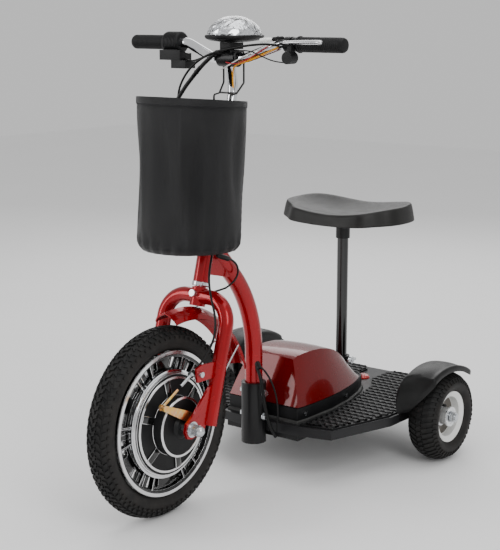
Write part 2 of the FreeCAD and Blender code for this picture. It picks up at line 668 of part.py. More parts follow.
def fork_dropouts():
    """Welded plates that carry the front axle ahead of the legs, and the cable stop's plate."""
    spread = number("leg_spread")
    end = place("-120", "front_axle_y", "front_axle_z", ROD_ALONG_X)
    hole = cylinder("axle_thread_radius + 0.05", "240", end)

    def welded(outline, thick, start, side):
        leg = cylinder("leg_radius + 0.05", "400", on_steering(side * spread, 0, -400))
        return cut(pad(outline, thick, place(start, "0", "0", PLATE_FACING_X)), group(leg, hole))

    carrier = [("-258", "296"), ("-284", "286"), ("-334", "238"), ("-358", "222"), ("-363", "206"),
               ("-356", "190"), ("-342", "186"), ("-324", "190"), ("-290", "196"), ("-268", "206")]
    plates = sides(lambda side: welded(carrier, "plate", f"{side} * leg_spread - plate / 2", side))
    stop = [("-248", "304"), ("-322", "304"), ("-324", "334"), ("-306", "340"), ("-242", "336")]
    keep("fork_dropouts", group(*plates, welded(stop, "5", "84.5", 1)))


def mudguard():
    """Peaked guard that follows the tyre from the crown to behind the wheel."""
    section = [("204", "-31"), ("213", "-26"), ("222", "-12"), ("227", "0"), ("222", "12"), ("213", "26"),
               ("204", "31"), ("202", "29"), ("210.5", "24"), ("219", "11"), ("224", "0"), ("219", "-11"),
               ("210.5", "-24"), ("202", "-29")]
    where = place("0", "-280", "218.6", LATHE_ALONG_X)
    guard = lathe(section, where, "85", "15.6")
    keep("mudguard", cut(guard, cylinder("4.1", "40", on_steering(0, 0, -50))))


def mudguard_stays():
    """Crown bolt, badge bolt and the two wire stays down to the dropouts."""
    def one(side):
        points = [(33.2, -114, 335), (42, -146, 318), (54, -188, 292), (64, -236, 262), (66, -276, 238),
                  (68, -300, 224), (81.5, -311, 210)]
        return bent([FreeCAD.Vector(side * x, y, z) for x, y, z in points], number("wire_radius - 0.5"))
    bolt = fuse(cylinder("4", "48", on_steering(0, 0, -38)), prism("8.5", "6", on_steering(0, 0, -41)))
    badge = cut(cylinder("7.5", "14", on_steering(0, -12, 4, FreeCAD.Rotation(X_AXIS, 90))),
                cylinder("leg_radius + 1.1", "60", on_steering(0, 0, -30)))
    keep("mudguard_stays", group(bolt, badge, *sides(one)))


def stem():
    """Quill stem that leaves the steerer and leans forward to the bar."""
    low = STEERING.multVec(FreeCAD.Vector(0, 0, 120))
    knee = FreeCAD.Vector(0, -86.6, 905)
    tube = bent([low, knee, FreeCAD.Vector(0, -100, 964)], number("bar_radius"), 80, 8)
    around = cylinder("bar_radius + 7.6", "80", place("-40", "bar_y", "bar_z", ROD_ALONG_X))
    keep("stem", cut(tube, around))


def bar_clamp():
    """Split barrel that grips the bar, with its two bolts."""
    where = place("-24", "bar_y", "bar_z", ROD_ALONG_X)
    bore = cylinder("bar_radius", "48", where)
    barrel = cut(cylinder("bar_radius + 7.5", "48", where), bore)
    bolts = [cylinder("4", "9", place(x, "bar_y - 10", "bar_z + 9")) for x in ("-15", "15")]
    keep("bar_clamp", cut(fuse(barrel, *bolts), bore))


def handlebar():
    half = [spot("bar_end", "grip_y", "grip_z"), spot("130", "grip_y", "grip_z"),
            spot("46", "bar_y", "bar_z")]
    points = half + [FreeCAD.Vector(-point.x, point.y, point.z) for point in reversed(half)]
    keep("handlebar", bent(points, number("bar_radius"), 60, number("bar_radius - bar_wall")))


def grip_outline(start, bore):
    return [(bore, start), ("grip_radius + 2", start), ("grip_radius + 2", f"{start} + 3"),
            ("grip_radius", f"{start} + 4"), ("grip_radius", "bar_end - 3"), ("grip_radius - 4", "bar_end + 3"),
            ("0", "bar_end + 3"), ("0", "bar_end + 0.3"), (bore, "bar_end + 0.3")]


def grips():
    left = place("0", "grip_y", "grip_z", LATHE_ALONG_X)
    right = place("0", "grip_y", "grip_z", FreeCAD.Rotation(Z_AXIS, 90))
    keep("grip_left", lathe(grip_outline("grip_start", "bar_radius"), left))
    keep("throttle_grip", lathe(grip_outline("twist_start", "bar_radius + running_gap"), right))


def throttle_housing():
    right = place("0", "grip_y", "grip_z", FreeCAD.Rotation(Z_AXIS, 90))
    outline = [("bar_radius + running_gap", "146"), ("20", "146"), ("24", "150"), ("24", "188"), ("22", "193.4"),
               ("bar_radius + running_gap", "193.4")]
    keep("throttle_housing", lathe(outline, right))
    box = block("60", "40", "22", place("-158", "grip_y - 12", "grip_z - 38"))
    lower = block("42", "34", "18", place("-134", "grip_y - 14", "grip_z - 56"))
    neck = block("40", "26", "12", place("-166", "grip_y - 8", "grip_z - 27"))
    collar = cylinder("24.2", "80", place("-200", "grip_y", "grip_z", ROD_ALONG_X))
    facing = FreeCAD.Rotation(X_AXIS, 90)
    keyway = cylinder("7.1", "9", place("-134", "grip_y - 14 + 17.1", "grip_z - 47", facing))
    keep("switch_box", cut(fuse(box, lower, neck), group(collar, keyway)))
    barrel = cylinder("7", "8", place("-134", "grip_y - 14 + 17", "grip_z - 47", facing))
    blade = block("2", "22", "10", place("-134", "grip_y + 14", "grip_z - 52"))
    keep("key", fuse(barrel, blade))


def brake_controls():
    """Lever perch, lever, and the horn switch beside it."""
    ring_at = place("perch_x - 8", "grip_y", "grip_z", ROD_ALONG_X)
    ring = cylinder("bar_radius + 5", "16", ring_at)
    arm = block("16", "36", "10", place("perch_x", "grip_y - 22", "lever_z - 5"))
    slot = block("40", "30", "6.2", place("perch_x + 6", "lever_y - 7", "lever_z - 3.1"))
    bore = cylinder("bar_radius", "16", ring_at)
    pin = cylinder("2.5", "10.4", place("perch_x", "lever_y", "lever_z - 5.2"))
    keep("brake_perch", fuse(cut(cut(fuse(ring, arm), bore), slot), pin))
    outline = [("-6", "-6"), ("8", "-7"), ("40", "-12"), ("100", "-20"), ("116", "-22"), ("121", "-17"),
               ("117", "-11"), ("100", "-8"), ("50", "3"), ("6", "6"), ("-6", "5")]
    blade = pad(outline, "5.6", place("perch_x", "lever_y", "lever_z - 2.8"))
    hole = cylinder("2.5 + running_gap", "12", place("perch_x", "lever_y", "lever_z - 6"))
    keep("brake_lever", cut(blade, hole))
    clamp_at = place("161", "grip_y", "grip_z", ROD_ALONG_X)
    clamp = cylinder("bar_radius + 4", "13", clamp_at)
    can = cylinder("13", "24", place("167.5", "-96", "grip_z - 27", FreeCAD.Rotation(X_AXIS, 90)))
    neck = block("11", "12", "26", place("167.5", "-105", "grip_z - 28"))
    well = cylinder("6.6", "7", place("167.5", "-95.9", "grip_z - 27", FreeCAD.Rotation(X_AXIS, 90)))
    keep("horn_housing", cut(cut(fuse(clamp, can, neck), cylinder("bar_radius", "13", clamp_at)), well))
    button = cylinder("6", "6.5", place("167.5", "-93", "grip_z - 27", FreeCAD.Rotation(X_AXIS, 90)))
    keep("horn_button", button)


def half_ellipsoid(width, length, height, where, low, high):
    solid = doc.addObject("Part::Ellipsoid", "Dome")
    bind(solid, Radius1=height, Radius2=width, Radius3=length)
    solid.Angle1 = low
    solid.Angle2 = high
    solid.Placement = where
    return solid


def headlight():
    where = place("0", "lamp_y", "lamp_z")
    dome = half_ellipsoid("lamp_half_width - 2", "lamp_half_length - 2", "lamp_rise", where, 0, 90)
    inside = half_ellipsoid("lamp_half_width - 5", "lamp_half_length - 5", "lamp_rise - 3", where, 0, 90)
    keep("headlight_lens", cut(dome, inside))
    below = place("0", "lamp_y", "lamp_z - 0.2")
    keep("headlight_base", half_ellipsoid("lamp_half_width", "lamp_half_length", "lamp_drop", below, -90, 0))
    foot = block("30", "44", "26", place("0", "-93", "bar_z + 18.8"))
    sizes = ("lamp_half_width + 0.2", "lamp_half_length + 0.2", "lamp_drop + 0.2")
    whole = half_ellipsoid(*sizes, below, -90, 90)
    keep("headlight_bracket", cut(foot, whole))


def basket():
    """Soft bucket hung ahead of the stem, pressed flat where it leans on the steering column."""
    lean = FreeCAD.Rotation(X_AXIS, -number("basket_lean"))
    turned = place("0", "basket_y", "basket_z", lean * LATHE_ALONG_Z)
    outer = [("0", "14"), ("basket_radius", "14"), ("basket_radius - 5", "-0.4 * basket_depth"),
             ("basket_radius - 1", "-1 * basket_depth + 34"), ("basket_radius - 9", "-1 * basket_depth + 12"),
             ("basket_radius - 34", "-1 * basket_depth"), ("0", "-1 * basket_depth")]
    inner = [("0", "15"), ("basket_radius - basket_wall", "15"),
             ("basket_radius - 5 - basket_wall", "-0.4 * basket_depth"),
             ("basket_radius - 1 - basket_wall", "-1 * basket_depth + 35"),
             ("basket_radius - 10 - basket_wall", "-1 * basket_depth + 16"),
             ("basket_radius - 35", "-1 * basket_depth + basket_wall"), ("0", "-1 * basket_depth + basket_wall")]
    back = number("basket_back")
    outside = common(lathe(outer, turned), block("400", "400", "700", on_steering(0, -back - 200, -100)))
    inside = common(lathe(inner, turned),
                    block("400", "400", "700", on_steering(0, -back - 200 - number("basket_wall"), -100)))
    rim_tilt = FreeCAD.Rotation(X_AXIS, -number("basket_tilt"))
    above = block("400", "400", "60", place("0", "basket_y", "basket_z", rim_tilt))
    keep("basket", cut(cut(outside, inside), above))


def basket_hanger():
    """Rim hoop and two hooks that hang the basket on the bar."""
    tilt = FreeCAD.Rotation(X_AXIS, -number("basket_tilt"))
    ring = doc.addObject("Part::Torus", "Hoop")
    bind(ring, Radius1="basket_radius - 11", Radius2="wire_radius")
    ring.Placement = place("0", "basket_y", "basket_z - 6", tilt)
    inset_back = number("basket_back + basket_wall + wire_radius")
    hoop = common(ring, block("400", "400", "700", on_steering(0, -inset_back - 200, -100)))
    chord = cylinder("wire_radius", "60", place("-30", "-126.6", "873.1", ROD_ALONG_X))

    def hook(side):
        x = side * 28
        points = [(x, -116, 962), (x, -116, 983), (x, -86, 983), (x, -86, 915), (x * 0.85, -106, 893),
                  (x * 0.8, -127, 890), (x * 0.8, -126.6, 872)]
        return bent([FreeCAD.Vector(*point) for point in points], number("wire_radius - 0.4"), 6)
    brace = cylinder("wire_radius - 0.4", "48", place("-24", "-106", "893.6", ROD_ALONG_X))
    keep("basket_hanger", fuse(hoop, chord, brace, *sides(hook)))


def brake_cable():
    """Outer cable from the lever round the column and down the left fork leg."""
    points = [(137, -104, 996), (118, -112, 1000), (84, -126, 998), (40, -131, 992), (-8, -131, 984),
              (-52, -132, 966), (-86, -138, 934), (-104, -146, 890), (-103, -143, 838), (-84, -128, 790),
              (-50, -107, 748), (-8, -101, 716), (24, -126, 684), (33, -158, 646), (31, -184, 600), (32, -203, 552),
              (38, -222, 508), (56, -237, 470), (78, -250, 440), (88, -259, 408), (87, -268, 380), (82, -286, 352),
              (78, -304, 335)]
    cable = bent([FreeCAD.Vector(*point) for point in points], number("cable_radius"))
    keep("brake_cable", cable)


ADJUSTER = FreeCAD.Vector(78, -305.5, 334)


def brake_line():
    """The straight line from the cable stop to the brake arm's pinch barrel."""
    tip = spot("arm_x", "arm_tip_y", "arm_tip_z")
    ahead = (tip - ADJUSTER).normalize()
    return ahead, FreeCAD.Rotation(Z_AXIS, ahead)


def cable_adjuster():
    """Cable stop bolted to its plate, with the threaded barrel and lock nut."""
    ahead, turn = brake_line()
    barrel = cylinder("4.5", "24", FreeCAD.Placement(ADJUSTER + ahead * 3, turn))
    nut = prism("7.5", "5", FreeCAD.Placement(ADJUSTER + ahead * 24, turn))
    sleeve = cylinder("3.4", "34", FreeCAD.Placement(ADJUSTER + ahead * 28, turn))
    clamp = block("11", "16", "18", place("79", "-313", "315"))
    bolt = cylinder("6", "7", place("89.6", "-313", "321", ROD_ALONG_X))
    keep("cable_adjuster", group(fuse(fuse(barrel, nut, sleeve), clamp), bolt))


def brake_arm():
    """Cam lever of the drum brake, with the pinch barrel at its tip."""
    pivot = spot("arm_x", "arm_y", "arm_z")
    tip = spot("arm_x", "arm_tip_y", "arm_tip_z")
    along = tip - pivot
    tilt = math.degrees(math.atan2(along.z, -along.y))
    reach = along.Length
    turn = PLATE_FACING_X * FreeCAD.Rotation(Z_AXIS, 180 - tilt)
    outline = [("-10", "-11"), ("20", "-11"), (f"{reach} - 6", "-6"), (f"{reach} + 6", "-6"),
               (f"{reach} + 6", "6"), (f"{reach} - 6", "6"), ("20", "11"), ("-10", "11")]
    plate = pad(outline, "5", FreeCAD.Placement(pivot - X_AXIS * 2.5, turn))
    barrel = cylinder("6", "14", FreeCAD.Placement(tip - X_AXIS * 4, ROD_ALONG_X))
    cam = cylinder("6", "8", FreeCAD.Placement(pivot - X_AXIS * 5.5, ROD_ALONG_X))
    ahead, back = brake_line()
    rod = cylinder("2.8", "62", FreeCAD.Placement(tip - ahead * 55, back))
    keep("brake_arm", fuse(plate, barrel, cam, rod))


# --------------------------------------------------------------------------- wiring
def harness_cables():
    """Power and signal leads from the main tube down under the platform, and the motor plug."""
    power = [(19, -26, 262), (30, -32, 252), (39, -34, 228), (44, -33, 190), (52, -30, 150), (60, -26, 122),
             (66, -16, 102)]
    signal = [(19, -24, 268), (34, -26, 264), (52, -24, 246), (68, -20, 212), (74, -18, 172), (72, -18, 136),
              (66, -12, 112)]
    lead = [(27.9, -137, 534), (28, -124, 529), (30, -110, 514), (30, -110, 494), (27, -126, 477),
            (24, -146, 470)]
    outward = FreeCAD.Rotation(Z_AXIS, FreeCAD.Vector(0.75, -0.35, -0.5))
    grommet = cut(cylinder("6.5", "20", FreeCAD.Placement(FreeCAD.Vector(14, -21, 272), outward)),
                  cylinder("main_radius + 0.1", "200", place("0", "main_y", "200")))
    along_tube = FreeCAD.Rotation(Z_AXIS, FreeCAD.Vector(0.02, 0.94, -0.33))
    plug = cylinder("6", "44", FreeCAD.Placement(FreeCAD.Vector(27, -180, 549), along_tube))
    thick = bent([FreeCAD.Vector(*point) for point in power], number("lead_radius"))
    thin = [bent([FreeCAD.Vector(*point) for point in points], 2.2) for points in (signal, lead)]
    keep("harness_cables", group(grommet, plug, thick, *thin))


def motor_lead():
    """Motor cable down the back of the right fork leg to the axle."""
    points = [(-56, -188, 463), (-75, -187, 453), (-88, -194, 434), (-90, -206, 392), (-87, -219, 344),
              (-90, -233, 296), (-88, -245, 250), (-88, -249, 206), (-80, -273, 172), (-71, -308, 180),
              (-66, -331, 202)]
    keep("motor_lead", bent([FreeCAD.Vector(*point) for point in points], 2.2))


def build():
    front_tyre()
    front_wheel()
    motor_covers()
    motor_stator()
    front_axle()
    brake_plate()
    for name, side in (("left", 1), ("right", -1)):
        rear_wheel(name, side)
        fender(name, side)
    rear_axle()
    main_tube()
    head_tube()
    headset_cups()
    head_gusset()
    tube_socket()
    chassis_frame()
    deck_platform()
    deck_mats()
    box_base()
    box_cover()
    box_contents()
    tail_reflector()
    seat_socket()
    seat_clamp_knob()
    seat()
    fork()
    fork_dropouts()
    mudguard()
    mudguard_stays()
    stem()
    bar_clamp()
    handlebar()
    grips()
    throttle_housing()
    brake_controls()
    headlight()
    basket()
    basket_hanger()
    brake_cable()
    cable_adjuster()
    brake_arm()
    harness_cables()
    motor_lead()
    doc.recompute()


def check_document():
    """Stop at a feature that failed quietly, or at a sub-part that isn't sound."""
    for feature in doc.Objects:
        failed = {"Invalid", "Error"} & set(feature.State)
        assert not failed, (feature.Name, feature.Label, feature.State)
    for node in nodes:
        assert not node.Shape.isNull() and node.Shape.isValid() and node.Shape.Solids, node.Label
    labels = [node.Label for node in nodes]
    assert len(set(labels)) == len(labels) <= 60, len(labels)


build()
check_document()
os.makedirs("parts", exist_ok=True)
for node in nodes:
    node.Shape.exportStep(f"parts/{node.Label}.step")
print(len(nodes), "sub-parts")
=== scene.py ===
# %% [markdown]
# # A three-wheeled mobility scooter
# The frame, wheels and controls come in as one fixed model that is already the right size. This lesson adds
# what that model leaves plain: tread, cast spokes, a moulded saddle, a hanging cloth basket, rubber mats,
# wiring, and a procedural finish for every surface.

# %% Load the fixed frame
import math

import bmesh
import bpy
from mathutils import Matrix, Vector, noise


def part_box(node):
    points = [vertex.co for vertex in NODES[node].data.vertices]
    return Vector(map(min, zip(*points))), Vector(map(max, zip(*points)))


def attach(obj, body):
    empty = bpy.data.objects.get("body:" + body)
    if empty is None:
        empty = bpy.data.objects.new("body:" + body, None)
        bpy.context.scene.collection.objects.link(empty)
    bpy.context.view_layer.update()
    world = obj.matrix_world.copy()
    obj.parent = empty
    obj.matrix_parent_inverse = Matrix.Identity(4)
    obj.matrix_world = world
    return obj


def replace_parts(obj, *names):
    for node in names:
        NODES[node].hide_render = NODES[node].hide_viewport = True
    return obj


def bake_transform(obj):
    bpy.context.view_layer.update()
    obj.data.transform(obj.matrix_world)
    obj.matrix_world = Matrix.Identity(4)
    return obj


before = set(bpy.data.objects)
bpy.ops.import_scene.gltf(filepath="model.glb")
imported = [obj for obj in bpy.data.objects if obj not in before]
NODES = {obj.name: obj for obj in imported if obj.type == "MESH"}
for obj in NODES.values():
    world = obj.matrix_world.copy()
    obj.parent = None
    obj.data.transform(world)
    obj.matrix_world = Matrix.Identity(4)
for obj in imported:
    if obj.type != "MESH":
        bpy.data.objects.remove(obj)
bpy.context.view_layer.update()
STEERING = "steering"
CHASSIS = "chassis"
FRONT_WHEEL = "front_wheel_assembly"


def middle(node):
    """The centre of a node's box."""
    low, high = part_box(node)
    return (low + high) / 2


def millimetres(points):
    """Points written in millimetres, as vectors in metres."""
    return [Vector(point) / 1000 for point in points]


FRONT_AXLE = middle("front_tyre")
REAR_AXLES = {"left": middle("rear_tyre_left"), "right": middle("rear_tyre_right")}

# %% [markdown]
# ## Camera and light
# The camera stands ahead of the front wheel on the rider's left, a little above the bars, with a long lens.
# A pale studio suits painted metal: large soft lamps leave long, calm highlights on round tubes.

# %% Camera
VIEW_PLACE = (1.81825, -2.36237, 1.06557)
VIEW_TILT, VIEW_TURN = 78.7625, 37.917
bpy.ops.object.select_all(action="DESELECT")
bpy.ops.object.camera_add(location=VIEW_PLACE, rotation=(math.radians(VIEW_TILT), 0, math.radians(VIEW_TURN)))
camera = bpy.context.object
camera.data.lens = 86.6
camera.data.sensor_width = 36
bpy.context.scene.camera = camera

# %% Studio
bpy.ops.mesh.primitive_plane_add(size=14, location=(0, 0, -0.0005))
floor = bpy.context.object
floor.name = "studio_floor"

world = bpy.data.worlds.new("studio")
bpy.context.scene.world = world
world.use_nodes = True
world.node_tree.nodes["Background"].inputs["Color"].default_value = (1, 1, 1, 1)
world.node_tree.nodes["Background"].inputs["Strength"].default_value = 0.68


def lamp(name, place, aim, width, height, power):
    """A rectangular soft lamp at a place, turned towards a point."""
    bpy.ops.object.light_add(type="AREA", location=place)
    light = bpy.context.object
    light.name = name
    light.data.shape = "RECTANGLE"
    light.data.size = width
    light.data.size_y = height
    light.data.energy = power
    light.rotation_euler = (Vector(aim) - Vector(place)).to_track_quat("-Z", "Y").to_euler()


lamp("key", (2.6, -1.4, 2.2), (0, 0, 0.5), 1.2, 2.2, 40)
lamp("left_strip", (-2.0, -2.4, 1.6), (0, 0, 0.5), 0.8, 2.4, 32)
lamp("back_fill", (-1.4, 2.6, 2.2), (0, 0, 0.5), 2.2, 1.6, 30)
lamp("top", (0.2, 0.0, 3.2), (0, 0, 0), 2.6, 2.6, 34)

# %% [markdown]
# ## Shader tools
# A finish is a small recipe of nodes. One class wraps a socket, so that shader maths reads like arithmetic,
# and one method adds every other node.


# %% Socket arithmetic
class Wire:
    """A shader socket that can be added, multiplied, raised to a power and taken from a number."""

    def __init__(self, finish, socket):
        self.finish = finish
        self.socket = socket

    def _with(self, operation, first, second=0.0):
        made = self.finish.node("ShaderNodeMath", {"operation": operation}, {0: first, 1: second})
        return Wire(self.finish, made.outputs[0])

    def __add__(self, other):
        return self._with("ADD", self, other)

    __radd__ = __add__

    def __rsub__(self, other):
        return self._with("SUBTRACT", other, self)

    def __mul__(self, other):
        return self._with("MULTIPLY", self, other)

    __rmul__ = __mul__

    def __pow__(self, other):
        return self._with("POWER", self, other)

    def sine(self):
        return self._with("SINE", self)


# %% A finish under construction
class Finish:
    """A material, with the nodes that its recipe adds."""

    def __init__(self, name, colour, roughness=0.5, metallic=0.0, **constants):
        self.material = bpy.data.materials.new(name)
        self.material.use_nodes = True
        self.tree = self.material.node_tree
        self.shader = self.tree.nodes["Principled BSDF"]
        self.shader.inputs["Base Color"].default_value = (*colour, 1)
        self.shader.inputs["Roughness"].default_value = roughness
        self.shader.inputs["Metallic"].default_value = metallic
        for socket, amount in constants.items():
            self.shader.inputs[socket.replace("_", " ").title().replace("Ior", "IOR")].default_value = amount
        self.place = self.node("ShaderNodeTexCoord").outputs["Object"]

    def node(self, kind, settings=(), sockets=()):
        made = self.tree.nodes.new(kind)
        for setting, choice in dict(settings).items():
            setattr(made, setting, choice)
        for key, entry in dict(sockets).items():
            source = entry.socket if isinstance(entry, Wire) else entry
            if isinstance(source, bpy.types.NodeSocket):
                self.tree.links.new(source, made.inputs[key])
            else:
                made.inputs[key].default_value = source
        return made

    def radius_about(self, centre):
        """Distance from the sideways line through a point."""
        shift = [-part for part in centre]
        moved = self.node("ShaderNodeMapping", {}, {"Vector": self.place, "Location": shift})
        parts = self.node("ShaderNodeSeparateXYZ", {}, {0: moved.outputs[0]})
        _, along, up = (Wire(self, socket) for socket in parts.outputs)
        return (along * along + up * up) ** 0.5

    def noise(self, scale, detail=3.0, stretch=(1, 1, 1)):
        spread = self.node("ShaderNodeMapping", {}, {"Vector": self.place, "Scale": stretch})
        sockets = {"Vector": spread.outputs[0], "Scale": scale, "Detail": detail}
        made = self.node("ShaderNodeTexNoise", {}, sockets)
        return Wire(self, made.outputs["Fac"])

    def cells(self, scale):
        made = self.node("ShaderNodeTexVoronoi", {}, {"Vector": self.place, "Scale": scale})
        return Wire(self, made.outputs["Distance"])

    def mix(self, factor, first, second):
        made = self.node("ShaderNodeMix", {"data_type": "RGBA", "clamp_factor": True},
                         {0: factor, 6: self.shade(first), 7: self.shade(second)})
        return Wire(self, made.outputs[2])

    def shade(self, colour):
        return colour if isinstance(colour, Wire) else (*colour, 1)

    def ramp(self, factor, low, high):
        made = self.node("ShaderNodeMapRange", {"clamp": True},
                         {0: factor, 1: low, 2: high, 3: 0.0, 4: 1.0})
        return Wire(self, made.outputs[0])

    def drive(self, socket, wire):
        self.tree.links.new(wire.socket, self.shader.inputs[socket])
        return self

    def bump(self, height, depth):
        made = self.node("ShaderNodeBump", {}, {"Height": height, "Strength": 1.0, "Distance": depth})
        self.tree.links.new(made.outputs[0], self.shader.inputs["Normal"])
        return self


# %% [markdown]
# ## Paint, plastic and metal
# Candy paint is a tinted clear coat over bright metal, so its base is metallic and a glossy coat lies on top.
# Moulded plastic has a fine grain and a dull sheen. Plated steel is smooth, with faint cloudy handling marks.


# %% Painted finishes
def candy_paint(name, dark, light, metallic):
    finish = Finish(name, light, 0.26, metallic, coat_weight=0.5, coat_roughness=0.04,
                    specular_ior_level=0.15)
    drift = finish.noise(9, 2)
    flakes = finish.ramp(finish.cells(2600), 0.1, 0.6)
    tone = finish.mix(drift * 0.7 + flakes * 0.3, dark, light)
    finish.drive("Base Color", tone)
    finish.drive("Roughness", 0.2 + 0.12 * finish.noise(40))
    return finish.bump(finish.noise(420, 1), 0.00004).material


def plain_paint(name, colour, roughness, coat):
    finish = Finish(name, colour, roughness, 0.0, coat_weight=coat, coat_roughness=0.12,
                    specular_ior_level=0.25)
    cloud = finish.noise(14)
    lighter = [part * 1.4 + 0.001 for part in colour]
    finish.drive("Base Color", finish.mix(cloud * 0.8, colour, lighter))
    finish.drive("Roughness", roughness - 0.06 + 0.12 * finish.noise(55))
    return finish.bump(finish.noise(600, 2), 0.00005).material


def moulded(name, colour, roughness, grain=900, depth=0.00012):
    """Moulded plastic or rubber: a fine pebbled grain, lighter where it is rubbed."""
    finish = Finish(name, colour, roughness, specular_ior_level=0.25)
    wear = finish.ramp(finish.noise(22, 5), 0.45, 0.75)
    dusty = [part * 1.6 + 0.002 for part in colour]
    finish.drive("Base Color", finish.mix(wear, colour, dusty))
    finish.drive("Roughness", roughness - 0.05 + 0.14 * finish.noise(60))
    return finish.bump(finish.cells(grain), depth).material


def plated(name, colour, roughness, streaks=(1, 1, 1), cloudiness=0.1):
    finish = Finish(name, colour, roughness, 1.0)
    haze = finish.noise(30, 4, streaks)
    duller = [part * 0.78 for part in colour]
    finish.drive("Base Color", finish.mix(haze, duller, colour))
    finish.drive("Roughness", roughness + cloudiness * finish.noise(90, 3, streaks))
    return finish.bump(finish.noise(500, 2, streaks), 0.00003).material


CANDY_RED = candy_paint("candy_red_tubes", (0.17, 0.0, 0.0015), (0.42, 0.0, 0.006), 0.45)
COVER_RED = candy_paint("deep_red_cover", (0.08, 0.0001, 0.0004), (0.17, 0.0003, 0.001), 0.2)
SATIN_BLACK = plain_paint("satin_black_paint", (0.004, 0.004, 0.0045), 0.42, 0.15)
GLOSS_BLACK = plain_paint("gloss_black_paint", (0.002, 0.002, 0.002), 0.16, 0.8)
EDGE_GREY = plain_paint("powder_grey_black", (0.009, 0.009, 0.01), 0.4, 0.1)
FENDER_BLACK = moulded("fender_plastic", (0.004, 0.004, 0.004), 0.36)
CASE_BLACK = moulded("case_plastic", (0.004, 0.004, 0.0045), 0.44)
MAT_BLACK = moulded("mat_rubber", (0.004, 0.004, 0.0045), 0.42, 500)
GRIP_BLACK = moulded("grip_rubber", (0.004, 0.004, 0.0045), 0.5, 700)
CABLE_BLACK = moulded("cable_sheath", (0.003, 0.003, 0.003), 0.36, 1400, 0.00005)
SADDLE_GREY = moulded("saddle_skin", (0.012, 0.0115, 0.011), 0.42, 1100, 0.0001)
CHROME = plated("chrome_plate", (0.86, 0.87, 0.89), 0.04, cloudiness=0.06)
ZINC = plated("bright_zinc", (0.66, 0.68, 0.7), 0.22, (1, 1, 6))
POLISHED = plated("polished_casting", (0.9, 0.9, 0.91), 0.16, (1, 1, 1), 0.12)
REAR_WHITE = plain_paint("rim_enamel", (0.8, 0.8, 0.78), 0.3, 0.5)


# %% Yellow passivated zinc
def yellow_zinc():
    """Passivated steel: gold that drifts towards pink and green."""
    finish = Finish("yellow_zinc", (0.82, 0.55, 0.2), 0.28, 1.0)
    gold = finish.mix(finish.ramp(finish.noise(60, 3), 0.35, 0.65), (0.86, 0.52, 0.08), (0.76, 0.4, 0.22))
    tone = finish.mix(finish.ramp(finish.noise(130, 2), 0.5, 0.8), gold, (0.62, 0.66, 0.42))
    finish.drive("Base Color", tone)
    finish.drive("Roughness", 0.2 + 0.2 * finish.noise(150))
    return finish.bump(finish.noise(700), 0.00004).material


YELLOW_ZINC = yellow_zinc()


# %% Tyre rubber
def tyre_rubber(name, centre, tread_from):
    """Black on the tread, a little browner and dustier down the side wall."""
    finish = Finish(name, (0.008, 0.008, 0.008), 0.62, specular_ior_level=0.3)
    radius = finish.radius_about(centre)
    wall = 1 - finish.ramp(radius, tread_from - 0.012, tread_from)
    dust = finish.ramp(finish.noise(34, 5), 0.4, 0.75)
    wall_tone = finish.mix(dust, (0.009, 0.008, 0.0075), (0.019, 0.0165, 0.0145))
    tread_tone = finish.mix(dust, (0.004, 0.004, 0.004), (0.014, 0.013, 0.012))
    finish.drive("Base Color", finish.mix(wall, tread_tone, wall_tone))
    finish.drive("Roughness", 0.52 + 0.2 * finish.noise(80))
    return finish.bump(finish.noise(900, 2), 0.0001).material


# %% [markdown]
# ## Modelling tools
# Round parts are spun from a half outline. Long or soft parts are lofted: a first ring is drawn, then it is
# extruded again and again, and each new ring is put where the shape needs it.


# %% Spin and loft
def deselect():
    bpy.ops.object.select_all(action="DESELECT")


def pick(piece):
    """Make one object the only selected one, and the active one."""
    deselect()
    piece.select_set(True)
    bpy.context.view_layer.objects.active = piece


def tidy_mesh(piece, smooth_angle=35):
    """Merge doubles, turn faces outwards and smooth the shallow edges."""
    pick(piece)
    bpy.ops.object.mode_set(mode="EDIT")
    bpy.ops.mesh.select_all(action="SELECT")
    bpy.ops.mesh.remove_doubles(threshold=1e-6)
    bpy.ops.mesh.delete_loose()
    bpy.ops.mesh.select_all(action="SELECT")
    bpy.ops.mesh.normals_make_consistent(inside=False)
    bpy.ops.object.mode_set(mode="OBJECT")
    if smooth_angle:
        bpy.ops.object.shade_smooth_by_angle(angle=math.radians(smooth_angle))
    return piece


def first_ring(name, corners, fill="NOTHING"):
    """A circle primitive whose corners are moved to the first ring's places."""
    deselect()
    bpy.ops.mesh.primitive_circle_add(vertices=len(corners), radius=0.01, fill_type=fill)
    piece = bpy.context.object
    piece.name = name
    for vertex, corner in zip(piece.data.vertices, corners):
        vertex.co = corner
    return piece


def turned(name, outline, centre, steps=96, smooth_angle=35):
    """Spin a closed outline of (radius, sideways distance) about the sideways line through centre."""
    corners = [centre + Vector((across, 0, radius)) for radius, across in outline]
    piece = first_ring(name, corners)
    bpy.ops.object.mode_set(mode="EDIT")
    bpy.ops.mesh.select_all(action="SELECT")
    bpy.ops.mesh.spin(steps=steps, angle=math.tau, center=centre, axis=(1, 0, 0))
    bpy.ops.object.mode_set(mode="OBJECT")
    return tidy_mesh(piece, smooth_angle)


def lofted(name, rings, caps=True, smooth_angle=35):
    """Extrude a ring through a list of rings, and close both ends if caps is set."""
    piece = first_ring(name, rings[0], "NGON" if caps else "NOTHING")
    bpy.ops.object.mode_set(mode="EDIT")
    bpy.ops.mesh.select_all(action="SELECT")
    if caps:
        bpy.ops.mesh.duplicate()
    for ring in rings[1:]:
        bpy.ops.mesh.extrude_region_move()
        mesh = bmesh.from_edit_mesh(piece.data)
        fresh = [vertex for vertex in mesh.verts if vertex.select]
        for vertex, corner in zip(fresh, ring):
            vertex.co = corner
        bmesh.update_edit_mesh(piece.data)
    bpy.ops.object.mode_set(mode="OBJECT")
    return tidy_mesh(piece, smooth_angle)


